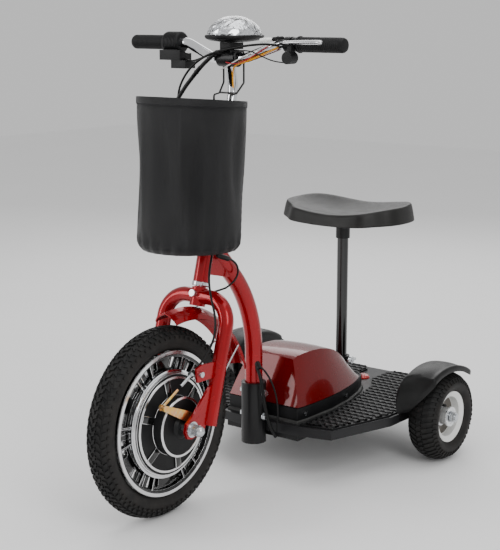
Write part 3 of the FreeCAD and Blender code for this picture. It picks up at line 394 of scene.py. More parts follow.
def modify(piece, kind, **settings):
    """Add a modifier and apply it at once."""
    pick(piece)
    modifier = piece.modifiers.new(kind.title(), kind)
    for setting, choice in settings.items():
        setattr(modifier, setting, choice)
    bpy.ops.object.modifier_apply(modifier=modifier.name)
    return piece


def soften(piece, width, segments=3, angle=30, **settings):
    """Round the sharp edges."""
    modify(piece, "BEVEL", width=width, segments=segments, limit_method="ANGLE",
           angle_limit=math.radians(angle), **settings)
    pick(piece)
    bpy.ops.object.shade_smooth_by_angle(angle=math.radians(40))
    return piece


def join(name, pieces):
    """One piece from several."""
    deselect()
    for piece in pieces:
        piece.select_set(True)
    bpy.context.view_layer.objects.active = pieces[0]
    bpy.ops.object.join()
    pieces[0].name = name
    return pieces[0]


def dress(piece, body, slot, *materials):
    """Give a finished piece its finishes and the body that it rides on; its slot is not used."""
    if not piece.data.materials:
        for material in materials:
            piece.data.materials.append(material)
    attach(piece, body)
    return piece


def paint(material, *nodes):
    """Give carried-over nodes a finish."""
    for node in nodes:
        NODES[node].data.materials.clear()
        NODES[node].data.materials.append(material)


def merged_copy(node, name):
    """A copy of a node with its loose triangles merged and its flat faces made whole."""
    piece = bpy.data.objects.new(name, NODES[node].data.copy())
    bpy.context.scene.collection.objects.link(piece)
    piece.data.materials.clear()
    pick(piece)
    bpy.ops.object.mode_set(mode="EDIT")
    bpy.ops.mesh.select_all(action="SELECT")
    bpy.ops.mesh.remove_doubles(threshold=1e-5)
    bpy.ops.mesh.dissolve_limited(angle_limit=math.radians(1))
    bpy.ops.object.mode_set(mode="OBJECT")
    return piece


# %% Round sections
def round_section(centre, turn, radius, count):
    """A circle of points about a centre, square to the direction that a turn gives."""
    angles = [math.tau * step / count for step in range(count)]
    return [centre + turn @ Vector((radius * math.cos(angle), radius * math.sin(angle), 0))
            for angle in angles]


# %% [markdown]
# ## Tyres
# A tyre is a hollow carcass with knobs moulded on it. The tread could be a bump pattern, but then its edge
# against the floor would stay smooth. So one pitch of knobs is shaped from cubes, wrapped onto the crown, and
# copied round the wheel by a spin that duplicates.


# %% Tyre parts
class Carcass:
    """The rounded section of a tyre, from one bead over the crown to the other."""

    def __init__(self, centre, radius, half, flange, knob):
        self.centre, self.radius, self.half, self.knob = centre, radius - knob, half - knob * 0.4, knob
        self.middle = flange + 0.42 * (self.radius - flange)
        self.reach = self.radius - self.middle

    def point(self, lean, lift=0.0, turn=0.0):
        """A point on the section: lean 0 is the left wall, a quarter turn is the crown."""
        radius = self.middle + (self.reach + lift) * math.sin(lean)
        across = (self.half + lift) * math.cos(lean)
        return self.centre + Vector((across, -radius * math.sin(turn), radius * math.cos(turn)))

    def outline(self, wall, stations=30, tuck=0.86):
        """A closed section with a wall; tuck is how far each bead turns in under the tyre."""
        leans = [-tuck + (math.pi + 2 * tuck) * index / stations for index in range(stations + 1)]
        outer = [(self.middle + self.reach * math.sin(lean), self.half * math.cos(lean)) for lean in leans]
        inner = [(self.middle + (self.reach - wall) * math.sin(lean), (self.half - wall) * math.cos(lean))
                 for lean in reversed(leans)]
        return outer + inner


KNOB_CUT, KNOB_DRAFT, KNOB_ROOT = 0.17, 0.18, 0.0012


def knob(carcass, lean, start, length, width, skew, bend):
    """One tread knob, cut in three so that it can bend, tapered, and wrapped onto the carcass."""
    deselect()
    bpy.ops.mesh.primitive_cube_add(size=1)
    piece = bpy.context.object
    bpy.ops.object.mode_set(mode="EDIT")
    for cut in (-KNOB_CUT, KNOB_CUT):
        bpy.ops.mesh.select_all(action="SELECT")
        bpy.ops.mesh.bisect(plane_co=(cut, 0, 0), plane_no=(1, 0, 0))
    bpy.ops.object.mode_set(mode="OBJECT")
    for vertex in piece.data.vertices:
        along, aside, up = vertex.co
        taper = 1 - KNOB_DRAFT * (up + 0.5)
        lift = -KNOB_ROOT + (up + 0.5) * (carcass.knob + KNOB_ROOT)
        turn = (start + along * length * taper + skew * aside) / carcass.radius
        sway = bend * math.sin(math.tau * along)
        vertex.co = carcass.point(lean + (aside * taper * width + sway) / carcass.reach, lift, turn)
    return piece


def tyre(name, node, body, centre, flange, knob_height, wall, pitches, rows):
    """A tyre with its tread, in place of a plain one."""
    low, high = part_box(node)
    carcass = Carcass(centre, (high.z - low.z) / 2, (high.x - low.x) / 2, flange, knob_height)
    pitch = math.tau * carcass.radius / pitches
    pattern = join(name + "_knobs", [knob(carcass, math.radians(lean), shift * pitch, length * pitch,
                                          width, skew * pitch, bend)
                                     for lean, shift, length, width, skew, bend in rows])
    bpy.ops.object.mode_set(mode="EDIT")
    bpy.ops.mesh.select_all(action="SELECT")
    bpy.ops.mesh.normals_make_consistent(inside=False)
    bpy.ops.mesh.spin(steps=pitches - 1, angle=math.tau * (pitches - 1) / pitches, center=centre,
                      axis=(1, 0, 0), dupli=True)
    bpy.ops.object.mode_set(mode="OBJECT")
    casing = turned(name, carcass.outline(wall), centre, 144, 60)
    rubber = tyre_rubber(name + "_rubber", centre, carcass.radius - 0.35 * carcass.reach)
    whole = join(name, [casing, pattern])
    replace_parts(dress(whole, body, "tyre_rubber", rubber), node)
    print(name, len(whole.data.polygons), "faces")


# %% Fit the tyres
# Each row: direction on the section, shift, length and width, skew, bend. Shift and length are in pitches.
COMMUTER_ROWS = [(82, 0.0, 0.62, 0.0085, 0.25, 0.0012), (98, 0.5, 0.62, 0.0085, -0.25, -0.0012),
                 (60, 0.45, 0.66, 0.008, -0.3, -0.001), (120, 0.95, 0.66, 0.008, 0.3, 0.001),
                 (38, 0.0, 0.5, 0.0085, 0.2, 0), (142, 0.5, 0.5, 0.0085, -0.2, 0),
                 (18, 0.5, 0.34, 0.006, 0, 0), (162, 0.0, 0.34, 0.006, 0, 0)]
CART_ROWS = [(90, 0.0, 0.72, 0.009, 0.3, 0.001), (68, 0.3, 0.7, 0.010, 0.25, 0),
             (112, 0.8, 0.7, 0.010, -0.25, 0), (46, 0.0, 0.55, 0.013, 0.2, 0),
             (134, 0.5, 0.55, 0.013, -0.2, 0), (24, 0.4, 0.42, 0.012, 0.1, 0),
             (156, 0.9, 0.42, 0.012, -0.1, 0)]
tyre("front_tyre_casing", "front_tyre", FRONT_WHEEL, FRONT_AXLE, 0.158, 0.0032, 0.005, 74, COMMUTER_ROWS)
for side, centre in REAR_AXLES.items():
    tyre(f"rear_tyre_casing_{side}", f"rear_tyre_{side}", f"rear_wheel_{side}", centre, 0.062, 0.003, 0.006,
         46, CART_ROWS)

# %% [markdown]
# ## Cast front wheel
# The wheel is cast aluminium, painted black, with its edges and rim machined bright afterwards. The bright
# lines could be a pattern in the paint, but they follow every edge, so a copy of the casting gets its edges
# bevelled, and the bevel itself takes the polished finish.


# %% Machined edges
def machined(node, name, width, bright, body, slot, base):
    """A black casting with polished edges, and polished faces where bright says so."""
    piece = merged_copy(node, name)
    piece.data.materials.append(base)
    piece.data.materials.append(POLISHED)
    for face in piece.data.polygons:
        offsets = [piece.data.vertices[index].co - FRONT_AXLE for index in face.vertices]
        radii = [math.hypot(offset.y, offset.z) for offset in offsets]
        if bright(min(radii), max(radii), min(abs(offset.x) for offset in offsets)):
            face.material_index = 1
    soften(piece, width, 2, 40, material=1)
    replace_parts(dress(piece, body, slot), node)
    return piece


def bright_on_wheel(near, far, aside):
    return near > 0.148 and aside > 0.02 or far < 0.1195 and aside > 0.0095


def bright_on_cover(near, far, aside):
    return near > 0.057 and far < 0.068 and aside > 0.05


machined("front_wheel", "cast_wheel", 0.0011, bright_on_wheel, FRONT_WHEEL, "cast_wheel", GLOSS_BLACK)
machined("motor_covers", "hub_covers", 0.0008, bright_on_cover, FRONT_WHEEL, "motor_case", CASE_BLACK)


# %% Ribs of the wheel and of the hub cover
def radial_bars(name, count, first, inner, outer, width, low, high, slope, sides=(1, -1)):
    """Bars that stand on a disc, from an inner to an outer radius, with bright edges."""
    bars = []
    for side in sides:
        deselect()
        bpy.ops.mesh.primitive_cube_add(size=1)
        bar = bpy.context.object
        for vertex in bar.data.vertices:
            along, across, up = vertex.co
            radius = inner + (along + 0.5) * (outer - inner)
            height = low if up < 0 else high + slope * (along + 0.5)
            vertex.co = Vector((side * height, across * width, radius))
        bpy.ops.object.mode_set(mode="EDIT")
        bpy.ops.mesh.select_all(action="SELECT")
        bpy.ops.transform.rotate(value=-math.radians(first), orient_axis="X", center_override=(0, 0, 0))
        bpy.ops.transform.translate(value=FRONT_AXLE)
        bpy.ops.mesh.spin(steps=count - 1, angle=math.tau * (count - 1) / count, center=FRONT_AXLE,
                          axis=(1, 0, 0), dupli=True)
        bpy.ops.mesh.select_all(action="SELECT")
        bpy.ops.mesh.normals_make_consistent(inside=False)
        bpy.ops.object.mode_set(mode="OBJECT")
        bars.append(bar)
    whole = join(name, bars)
    whole.data.materials.append(GLOSS_BLACK)
    whole.data.materials.append(POLISHED)
    return soften(whole, 0.0011, 2, 40, material=1)


for name, first in (("wheel_ribs_leading", 21), ("wheel_ribs_trailing", 39)):
    bars = radial_bars(name, 6, first, 0.111, 0.146, 0.0045, 0.009, 0.0225, 0.001)
    dress(bars, FRONT_WHEEL, "cast_wheel")
dress(radial_bars("wheel_spoke_pads", 6, 30, 0.1125, 0.1445, 0.013, 0.009, 0.0165, 0.0), FRONT_WHEEL,
      "cast_wheel")
dress(radial_bars("cover_ribs", 6, 10, 0.0655, 0.1, 0.017, 0.033, 0.0405, -0.0025, (1,)), FRONT_WHEEL,
      "motor_case")
print("ribs standing on the wheel and on the hub cover")


# %% Bright rings of the hub
def hub_ring(name, radius, aside, width, thickness, material, slot, side=1):
    crown = 0.0006
    section = [(radius - thickness, aside - width), (radius, aside - width),
               (radius + crown, aside - width * 0.5), (radius, aside), (radius - thickness, aside),
               (radius - thickness - crown, aside - width * 0.5)]
    outline = [(out, side * across) for out, across in section]
    return dress(turned(name, outline, FRONT_AXLE, 128, 50), FRONT_WHEEL, slot, material)


hub_ring("barrel_ring_outer", 0.1175, 0.0275, 0.006, 0.0052, CHROME, "chrome_plate")
hub_ring("barrel_ring_inner", 0.1035, 0.0365, 0.0022, 0.0045, POLISHED, "cast_wheel")
hub_ring("backing_ring", 0.0648, 0.0634, 0.0024, 0.0046, POLISHED, "motor_case")
for name, side in (("rim_edge_left", 1), ("rim_edge_right", -1)):
    hub_ring(name, 0.1572, 0.0272, 0.0026, 0.0072, POLISHED, "cast_wheel", side)

# %% [markdown]
# ## Rear wheels
# Each rear wheel has a pressed steel rim with a white flange, a brown-grey dish inside it, a plated hub and a
# short black valve. The three tones meet at circles, so one finish picks them by the distance from the axle.
# The valve and the hub's seal are real pieces, because they stand out of the dish.


# %% Rear rims
DISH_EDGE, HUB_EDGE = 0.0462, 0.0262


def rear_rim_enamel(side, centre):
    """White flange, brown-grey dish and plated hub, by the distance from the axle."""
    finish = Finish(f"rear_rim_{side}", (0.8, 0.8, 0.78), 0.32, 0.0, coat_weight=0.4, coat_roughness=0.1)
    radius = finish.radius_about(centre)
    dish = 1 - finish.ramp(radius, DISH_EDGE, DISH_EDGE + 0.0006)
    hub = finish.ramp(HUB_EDGE - radius, 0, 0.0006)
    grime = finish.ramp(finish.noise(45, 5), 0.35, 0.7)
    brown = finish.mix(grime, (0.075, 0.062, 0.05), (0.13, 0.115, 0.095))
    white = finish.mix(grime * 0.5, (0.82, 0.82, 0.8), (0.68, 0.68, 0.66))
    finish.drive("Base Color", finish.mix(hub, finish.mix(dish, white, brown), (0.75, 0.76, 0.78)))
    finish.drive("Metallic", dish * 0.5 + hub * 0.5)
    finish.drive("Roughness", 0.3 + 0.15 * finish.noise(50))
    return finish.bump(finish.noise(420), 0.00005).material


VALVE = [  # height along the stem, radius
    (0, 0.0042), (0.003, 0.0042), (0.006, 0.003), (0.014, 0.0029), (0.0145, 0.0036), (0.0215, 0.0034),
    (0.023, 0.0022)]
for side, centre in REAR_AXLES.items():
    paint(rear_rim_enamel(side, centre), f"rear_hub_{side}")
    outward = 1 if side == "left" else -1
    stem_foot = centre + Vector((outward * 0.008, -0.026, 0.033))
    stem_tip = stem_foot + Vector((outward * 0.022, -0.004, 0.002))
    direction = (stem_tip - stem_foot).normalized()
    turn = direction.to_track_quat("Z", "Y")
    rings = [round_section(stem_foot + direction * height, turn, radius, 16) for height, radius in VALVE]
    dress(lofted(f"tyre_valve_{side}", rings), f"rear_wheel_{side}", "cable_rubber", CABLE_BLACK)
    outline = [(0.017, outward * 0.0285), (0.024, outward * 0.0285), (0.0245, outward * 0.0275),
               (0.0245, outward * 0.0245), (0.021, outward * 0.0235), (0.017, outward * 0.0235)]
    dress(turned(f"hub_seal_{side}", outline, centre, 48), f"rear_wheel_{side}", "chrome_plate", CHROME)

# %% [markdown]
# ## Finishes on the carried-over parts
# Bent tubes, brackets and bolts already have their true shape, so they only need paint, plating or plastic.
# Five flat-sided parts look too sharp, so each is copied and its edges are rounded before it is finished.

# %% Paint the frame
paint(CANDY_RED, "main_tube", "head_tube", "head_gusset", "fork", "fork_dropouts", "mudguard")
paint(SATIN_BLACK, "tube_socket", "chassis_frame", "seat_socket", "saddle_bracket", "bar_clamp")
paint(GLOSS_BLACK, "seat_post")
paint(CASE_BLACK, "battery_pack", "motor_controller", "throttle_housing", "switch_box", "brake_perch",
      "horn_housing", "headlight_base", "headlight_bracket", "brake_plate")
paint(CHROME, "stem", "handlebar", "headset_cups")
paint(ZINC, "socket_bolts", "box_screws", "rear_axle", "rear_axle_nuts", "seat_clamp_knob", "mudguard_stays",
      "front_axle", "key", "motor_stator", "cable_adjuster")
paint(YELLOW_ZINC, "brake_arm")
paint(plain_paint("wire_black", (0.004, 0.004, 0.004), 0.3, 0.3), "basket_hanger")
paint(MAT_BLACK, "deck_mats")
paint(moulded("horn_button_red", (0.35, 0.02, 0.012), 0.3), "horn_button")

# %% Softer edges on flat-sided parts
for node, name, width, material, slot in (
        ("deck_platform", "deck_tray", 0.0022, EDGE_GREY, "black_paint"),
        ("box_base", "box_tray", 0.003, CASE_BLACK, "black_plastic"),
        ("tube_socket", "socket_sleeve", 0.0012, SATIN_BLACK, "black_paint"),
        ("switch_box", "switch_case", 0.0022, CASE_BLACK, "black_plastic"),
        ("headlight_bracket", "lamp_bracket", 0.002, CASE_BLACK, "black_plastic")):
    rounded = soften(merged_copy(node, name), width, 3, 40)
    body = STEERING if node in ("switch_box", "headlight_bracket") else CHASSIS
    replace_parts(dress(rounded, body, slot, material), node)


# %% Tail reflector
def prism_red():
    finish = Finish("prism_red", (0.7, 0.02, 0.015), 0.2, 0.0, coat_weight=1.0, coat_roughness=0.03)
    cell = finish.cells(420)
    finish.drive("Base Color", finish.mix(finish.ramp(cell, 0.1, 0.5), (0.9, 0.05, 0.03), (0.45, 0.01, 0.01)))
    return finish.bump(cell, 0.0006).material


paint(prism_red(), "tail_reflector")

# %% [markdown]
# ## Fenders
# Each fender is a moulded strip that arches over the tyre, then turns down and narrows to a foot at the edge
# of the platform. A bent plate could make the arch, but not the sweep of its front, so closed sections are
# lofted along it, and an inner wall joins it to the platform.

# %% Lofted fenders
FENDER_INNER, FENDER_OUTER, ARCH_Y, ARCH_Z, ARCH = 244, 327, 331, 36, 205
FENDER_SKIN, WALL_SKIN, WALL_FOOT = 0.0022, 3, 112
FENDER_PROFILE = [  # share of the width, height
    (0.0, -11), (0.03, -6), (0.1, -2), (0.25, 0), (0.5, 1.5), (0.72, 0), (0.84, -2), (0.92, 0.5),
    (0.97, -0.5), (1.0, -5), (1.0, -11)]
SWEEP = [  # inner edge y, z; outer edge x, y, z
    (250, 225, 326, 258, 217), (231, 214, 315, 246, 199), (218, 196, 298, 240, 178),
    (213, 174, 280, 240, 158), (216, 150, 263, 246, 141), (226, 131.5, 250, 254, 131.5)]


def fender_section(inner, outer, lip):
    """Points across a fender, from its inner edge over the crown to the rolled outer lip."""
    out = (outer - inner).length / (FENDER_OUTER - FENDER_INNER)
    up = Vector((0, *(((inner + outer) / 2).yz - Vector((ARCH_Y, ARCH_Z))))).normalized()
    return [inner.lerp(outer, share) + up * height * out * (lip if height < 0 else 1)
            for share, height in FENDER_PROFILE]


def fender(side):
    """One fender on its own side: side is 1 for the left and -1 for the right."""
    rows = []
    for angle in range(56, 113, 7):
        turn = math.radians(angle)
        y, z = ARCH_Y + ARCH * math.cos(turn), ARCH_Z + ARCH * math.sin(turn)
        rows.append(fender_section(Vector((FENDER_INNER, y, z)), Vector((FENDER_OUTER, y, z - 3)), 1.2))
    for y, z, outer_x, outer_y, outer_z in SWEEP:
        rows.append(fender_section(Vector((FENDER_INNER, y, z)), Vector((outer_x, outer_y, outer_z)), 1.0))
    rings = [[Vector((side * point.x, point.y, point.z)) / 1000 for point in row] for row in rows]
    closed = [ring + [corner - Vector((0, 0, FENDER_SKIN)) for corner in reversed(ring)] for ring in rings]
    shell = lofted("fender_shell", closed, smooth_angle=60)
    modify(shell, "SUBSURF", levels=1, render_levels=1)
    near, far = FENDER_INNER, FENDER_INNER + WALL_SKIN
    wall = []
    for point in (row[0] for row in rows):
        foot = min(WALL_FOOT, point.z - 2)
        corners = ((near, foot), (far, foot), (far, point.z), (near, point.z))
        wall.append([Vector((side * x, point.y, z)) / 1000 for x, z in corners])
    inner_wall = lofted("fender_wall", wall[:-4])
    name = "fender_guard_left" if side > 0 else "fender_guard_right"
    guard = dress(join(name, [shell, inner_wall]), CHASSIS, "black_plastic", FENDER_BLACK)
    pick(guard)
    bpy.ops.object.shade_smooth_by_angle(angle=math.radians(45))
    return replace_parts(guard, "fender_left" if side > 0 else "fender_right")


for side in (1, -1):
    guard = fender(side)
    print(guard.name, len(guard.data.polygons))

# %% [markdown]
# ## Deck mats
# The rubber mats are moulded with wavy ribs. A bump pattern would look flat from the side, so the ribs are
# real: one is lofted across the mat, repeated down its length, and trimmed to the mat's own outline.

# %% Wavy ribs
RIB_COUNT, RIB_SPACING, RIB_WAVE, RIB_SWAY = 26, 0.0212, 0.0185, 0.0042
RIB_START, RIB_SPAN, RIB_STEPS = 0.026, 0.216, 144
RIB_SECTION = ((-0.0058, -0.0006), (-0.0046, 0.0026), (-0.0022, 0.0034), (0.0022, 0.0034),
               (0.0046, 0.0026), (0.0058, -0.0006))
RIM_X, RIM_Y = 3, 4  # plain rim left round the ribs, in millimetres
MAT_OUTLINE = [(112, 14), (190, 32), (238, 199), (238, 466), (210, 486), (148, 525), (84, 543), (44, 541),
               (30, 520), (30, 440), (66, 385), (94, 270), (112, 150)]


def inside_mat(x, y):
    """Whether a point lies within the left mat's outline, given in millimetres."""
    crossings = 0
    for (ax, ay), (bx, by) in zip(MAT_OUTLINE, MAT_OUTLINE[1:] + MAT_OUTLINE[:1]):
        if (ay > y) != (by > y) and x < ax + (y - ay) / (by - ay) * (bx - ax):
            crossings += 1
    return crossings % 2 == 1


def mat_ribs(side):
    """All the ribs of one mat: side is 1 for the left and -1 for the right."""
    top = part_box("deck_mats")[1].z
    rings = []
    for step in range(RIB_STEPS + 1):
        x = RIB_START + RIB_SPAN * step / RIB_STEPS
        y = RIB_SWAY * abs(math.sin(math.pi * x / RIB_WAVE)) * 2
        rings.append([Vector((side * x, y + along, top + up)) for along, up in RIB_SECTION])
    name = "mat_ribs_left" if side > 0 else "mat_ribs_right"
    piece = lofted(name, rings)
    modify(piece, "ARRAY", count=RIB_COUNT, use_relative_offset=False, use_constant_offset=True,
           constant_offset_displace=(0, RIB_SPACING, 0))
    pick(piece)
    bpy.ops.object.mode_set(mode="EDIT")
    mesh = bmesh.from_edit_mesh(piece.data)
    for vertex in mesh.verts:
        x, y = abs(vertex.co.x) * 1000, vertex.co.y * 1000
        margins = ((RIM_X, 0), (-RIM_X, 0), (0, RIM_Y), (0, -RIM_Y))
        vertex.select = not all(inside_mat(x + dx, y + dy) for dx, dy in margins)
    mesh.select_flush_mode()
    bmesh.update_edit_mesh(piece.data)
    bpy.ops.mesh.delete(type="VERT")
    bpy.ops.mesh.select_all(action="DESELECT")
    bpy.ops.mesh.select_mode(type="EDGE")
    bpy.ops.mesh.select_non_manifold(extend=False)
    bpy.ops.mesh.edge_face_add()
    bpy.ops.mesh.select_mode(type="VERT")
    bpy.ops.object.mode_set(mode="OBJECT")
    tidy_mesh(piece, 30)
    print(name, len(piece.data.polygons))
    return dress(piece, CHASSIS, "mat_rubber", MAT_BLACK)


for side in (1, -1):
    mat_ribs(side)

# %% [markdown]
# ## Battery box cover
# The cover is a glossy shell whose sides lean in and whose back curves down to the seat post. It is lofted
# from front to back because each cross-section is simple and the changes between them give the shape. It is
# notched for the post, and its edges are rounded until they catch the light.

# %% Lofted cover
COVER_STATIONS = [  # bottom y, bottom half width, top y, top z, top half width
    (22, 100, 54, 272, 63), (40, 103, 66, 277, 65), (70, 104.5, 90, 280, 67), (110, 105, 122, 280.5, 68),
    (150, 104, 158, 278, 68), (195, 100, 194, 271, 66), (238, 93, 226, 260, 61), (275, 85, 254, 245, 57),
    (304, 76, 279, 227, 53), (325, 68, 300, 207, 50), (338, 61, 320, 186, 49), (345, 56, 338, 172, 50)]


COVER_FOOT, COVER_BULGE, COVER_CROWN = 168.4, 2.2, 2.5


def cover_ring(bottom_y, bottom_half, top_y, top_z, top_half, steps=6):
    """A cross-section: up one leaning side, over a slightly crowned top, and down the other side."""
    half = []
    for step in range(steps):
        share = step / steps
        bulge = COVER_BULGE * math.sin(math.pi * share)
        half.append((bottom_half + (top_half - bottom_half) * share + bulge,
                     bottom_y + (top_y - bottom_y) * share, COVER_FOOT + (top_z - COVER_FOOT) * share))
    for step in range(steps):
        across = top_half * (1 - step / steps)
        half.append((across, top_y, top_z + COVER_CROWN * (1 - (across / top_half) ** 2)))
    peak = [(0, top_y, top_z + COVER_CROWN)]
    return millimetres(half + peak + [(-x, y, z) for x, y, z in reversed(half)])


cover = lofted("battery_cover", [cover_ring(*station) for station in COVER_STATIONS])
deselect()
bpy.ops.mesh.primitive_cylinder_add(vertices=64, radius=0.0215, depth=0.3, location=(0, 0.349, 0.24))
post_notch = bpy.context.object
modify(cover, "BOOLEAN", operation="DIFFERENCE", solver="EXACT", object=post_notch)
bpy.data.objects.remove(post_notch)
soften(cover, 0.0045, 4, 28)
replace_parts(dress(cover, CHASSIS, "red_cover", COVER_RED), "box_cover")
print(cover.name, len(cover.data.polygons))

# %% Gasket round the box
GASKET_WIDTH, GASKET_FOOT, GASKET_SHOULDER, GASKET_TOP = 0.0065, 0.1302, 0.1352, 0.1375
BOX_EDGE = [(0, 22), (100, 22), (104, 60), (104, 160), (92, 245), (72, 318), (50, 368), (30, 382), (0, 384)]


def box_gasket():
    """A thin grey strip that seals the box to the platform."""
    loop = BOX_EDGE + [(-x, y) for x, y in reversed(BOX_EDGE[1:-1])]
    foot, shoulder, top = (Vector((0, 0, z)) for z in (GASKET_FOOT, GASKET_SHOULDER, GASKET_TOP))
    rings = []
    for x, y in loop:
        out = Vector((x, (y - 200) * 0.75, 0)).normalized()
        inner = Vector((x, y, 0)) / 1000 - out * 0.0005
        outer = inner + out * GASKET_WIDTH
        rings.append([inner + foot, outer + foot, outer + shoulder - out * 0.001, inner + top])
    rings.append(rings[0])
    piece = lofted("box_gasket", rings, caps=False)
    return dress(piece, CHASSIS, "mat_rubber", moulded("gasket_grey", (0.035, 0.035, 0.034), 0.5))


box_gasket()

# %% [markdown]
# ## Saddle
# The saddle is a one-piece moulded pad with a flared skirt, a crisp rim and a dished top whose wings rise to
# each side. It could be sculpted, but a loft keeps its two halves equal and its rim crisp: rings go from the
# hidden underside out to the skirt and in over the top.

# %% Moulded saddle
SADDLE_EDGE = [(0, 262), (50, 262), (92, 263), (112, 270), (128, 290), (158, 308), (172, 336), (173, 384),
               (162, 428), (138, 456), (96, 472), (48, 477), (0, 477)]
SADDLE_MIDDLE = Vector((0, 0.372, 0))
SADDLE_BASE, WING_RISE, WING_REACH, BACK_RISE, BACK_FROM = 0.5525, 0.024, 0.165, 0.012, 0.38


def saddle_ring(shrink, rise, dish):
    """The saddle's outline drawn in by a length, at a height over the underside, with the middle lower."""
    loop = SADDLE_EDGE + [(-x, y) for x, y in reversed(SADDLE_EDGE[1:-1])]
    ring = []
    for x, y in loop:
        corner = Vector((x, y, 0)) / 1000
        offset = corner - SADDLE_MIDDLE
        offset *= max(0, 1 - shrink / offset.length)
        place = SADDLE_MIDDLE + offset
        wing = WING_RISE * min(1, abs(place.x) / WING_REACH) ** 1.7
        back = BACK_RISE * max(0, (place.y - BACK_FROM) / 0.09)
        height = SADDLE_BASE + rise + wing * (0.4 + 0.6 * dish) + back * dish
        ring.append(place + Vector((0, 0, height)))
    return ring


SADDLE_STATIONS = [  # drawn in by, rise, share of the dish
    (0.09, 0.004, 0), (0.016, 0.002, 0), (0.003, 0.0, 0), (0.0, 0.001, 0), (0.0015, 0.005, 0.2),
    (0.006, 0.0195, 0.75), (0.0085, 0.0245, 1), (0.0125, 0.028, 1), (0.02, 0.0285, 1), (0.04, 0.0255, 1),
    (0.075, 0.0215, 1), (0.12, 0.019, 1)]
saddle = lofted("saddle_pad", [saddle_ring(*station) for station in SADDLE_STATIONS], smooth_angle=60)
modify(saddle, "SUBSURF", levels=2, render_levels=2)
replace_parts(dress(saddle, "seat", "saddle_foam", SADDLE_GREY), "saddle")
bpy.ops.object.shade_smooth_by_angle(angle=math.radians(60))

# %% [markdown]
# ## Basket
# The basket is a soft nylon bucket: a flat strip wrapped round a wire hoop, hemmed at the top and gathered
# into a round base. It hangs nearly straight, so its few folds and pleats are placed by formula, which keeps
# it clear of the steering column, where a cloth simulation would have to be held back.

# %% Cloth shape
BASKET_TOP, BASKET_FOOT = 0.887, 0.5705
BASKET_TILT = math.tan(math.radians(4.5))
STEERING_LEAN = math.tan(math.radians(15.5))
BASKET_FOOT_Y, BASKET_SHIFT = -0.2364, 0.0094
COLUMN_Y, COLUMN_Z, COLUMN_GAP = -0.204, 0.481, 0.0255
WEAVE_CENTRE_Y, WEAVE_TURN, WEAVE_RISE = -0.232, 1.12, 10


def bucket_radius(share):
    """Radius at a share of the height, 0 at the foot and 1 at the rim."""
    waist = 0.1158 - 0.004 * math.sin(math.pi * min(1, share * 1.05)) ** 2
    shoulder = min(1, (share + 0.012) / 0.075)
    return waist * (0.86 + 0.14 * math.sin(shoulder * math.pi / 2))


FOLDS = [  # direction in degrees, width in degrees, depth, strongest at this share of the height
    (-62, 5, 0.0048, 0.55), (-44, 8, -0.0062, 0.4), (-84, 9, -0.0055, 0.6), (-22, 5, 0.0034, 0.35),
    (-112, 6, 0.0036, 0.5), (-134, 9, -0.006, 0.35), (8, 8, -0.005, 0.6), (192, 7, 0.003, 0.45)]


def cloth_point(turn, share):
    """A point of the cloth: turn about the bucket, share of the way up."""
    folds = 0
    for direction, width, depth, strongest in FOLDS:
        apart = (math.degrees(turn) - direction + 180) % 360 - 180
        folds += depth * math.exp(-(apart / width) ** 2) * math.exp(-((share - strongest) / 0.33) ** 2)
    pleats = 0.0016 * math.sin(26 * turn) * math.exp(-((share - 0.05) / 0.06) ** 2)
    sag = 0.0016 * math.sin(7 * turn + 5 * share) * math.sin(math.pi * share)
    radius = bucket_radius(share) + folds + pleats + sag
    height = BASKET_FOOT + (BASKET_TOP - BASKET_FOOT) * share
    centre_y = BASKET_FOOT_Y + BASKET_SHIFT * share
    x, y = radius * math.cos(turn), centre_y + radius * math.sin(turn)
    height += BASKET_TILT * (centre_y - y) * share ** 4
    column = COLUMN_Y + STEERING_LEAN * (height - COLUMN_Z) - COLUMN_GAP
    flat = column + 0.004 * math.cos(math.pi * min(1, abs(x) / 0.09))
    return Vector((x, min(y, flat), height))


def cloth_ring(share, count=160):
    return [cloth_point(math.tau * step / count, share) for step in range(count)]


def inward(ring, keep, lift):
    centre = sum(ring, Vector()) / len(ring)
    return [centre + (corner - centre) * keep + Vector((0, 0, lift)) for corner in ring]


def map_weave(piece):
    """Wrap the weave round a piece of the basket."""
    weave = piece.data.uv_layers.new(name="weave")
    for loop in piece.data.loops:
        corner = piece.data.vertices[loop.vertex_index].co
        turn = math.atan2(corner.y - WEAVE_CENTRE_Y, corner.x)
        weave.data[loop.index].uv = (turn * WEAVE_TURN, corner.z * WEAVE_RISE)


# %% Cloth bucket with its base
CLOTH_ROWS = 56
foot = cloth_ring(0)
base = ((0.03, -0.0030), (0.35, -0.0026), (0.7, -0.0015), (0.9, -0.0005))  # size against the foot, lift
rings = [inward(foot, keep, lift) for keep, lift in base]
rings += [cloth_ring(index / CLOTH_ROWS) for index in range(CLOTH_ROWS + 1)]
basket_cloth = lofted("basket_cloth", rings, caps=False, smooth_angle=70)
pick(basket_cloth)
bpy.ops.object.mode_set(mode="EDIT")
bpy.ops.mesh.select_all(action="DESELECT")
bpy.ops.mesh.select_mode(type="EDGE")
mesh = bmesh.from_edit_mesh(basket_cloth.data)
for edge in mesh.edges:
    edge.select = edge.is_boundary and edge.verts[0].co.z < 0.6
bmesh.update_edit_mesh(basket_cloth.data)
bpy.ops.mesh.edge_face_add()
bpy.ops.mesh.select_mode(type="VERT")
bpy.ops.object.mode_set(mode="OBJECT")
map_weave(basket_cloth)
print("basket cloth", len(basket_cloth.data.polygons))


# %% Nylon
THREADS = 420


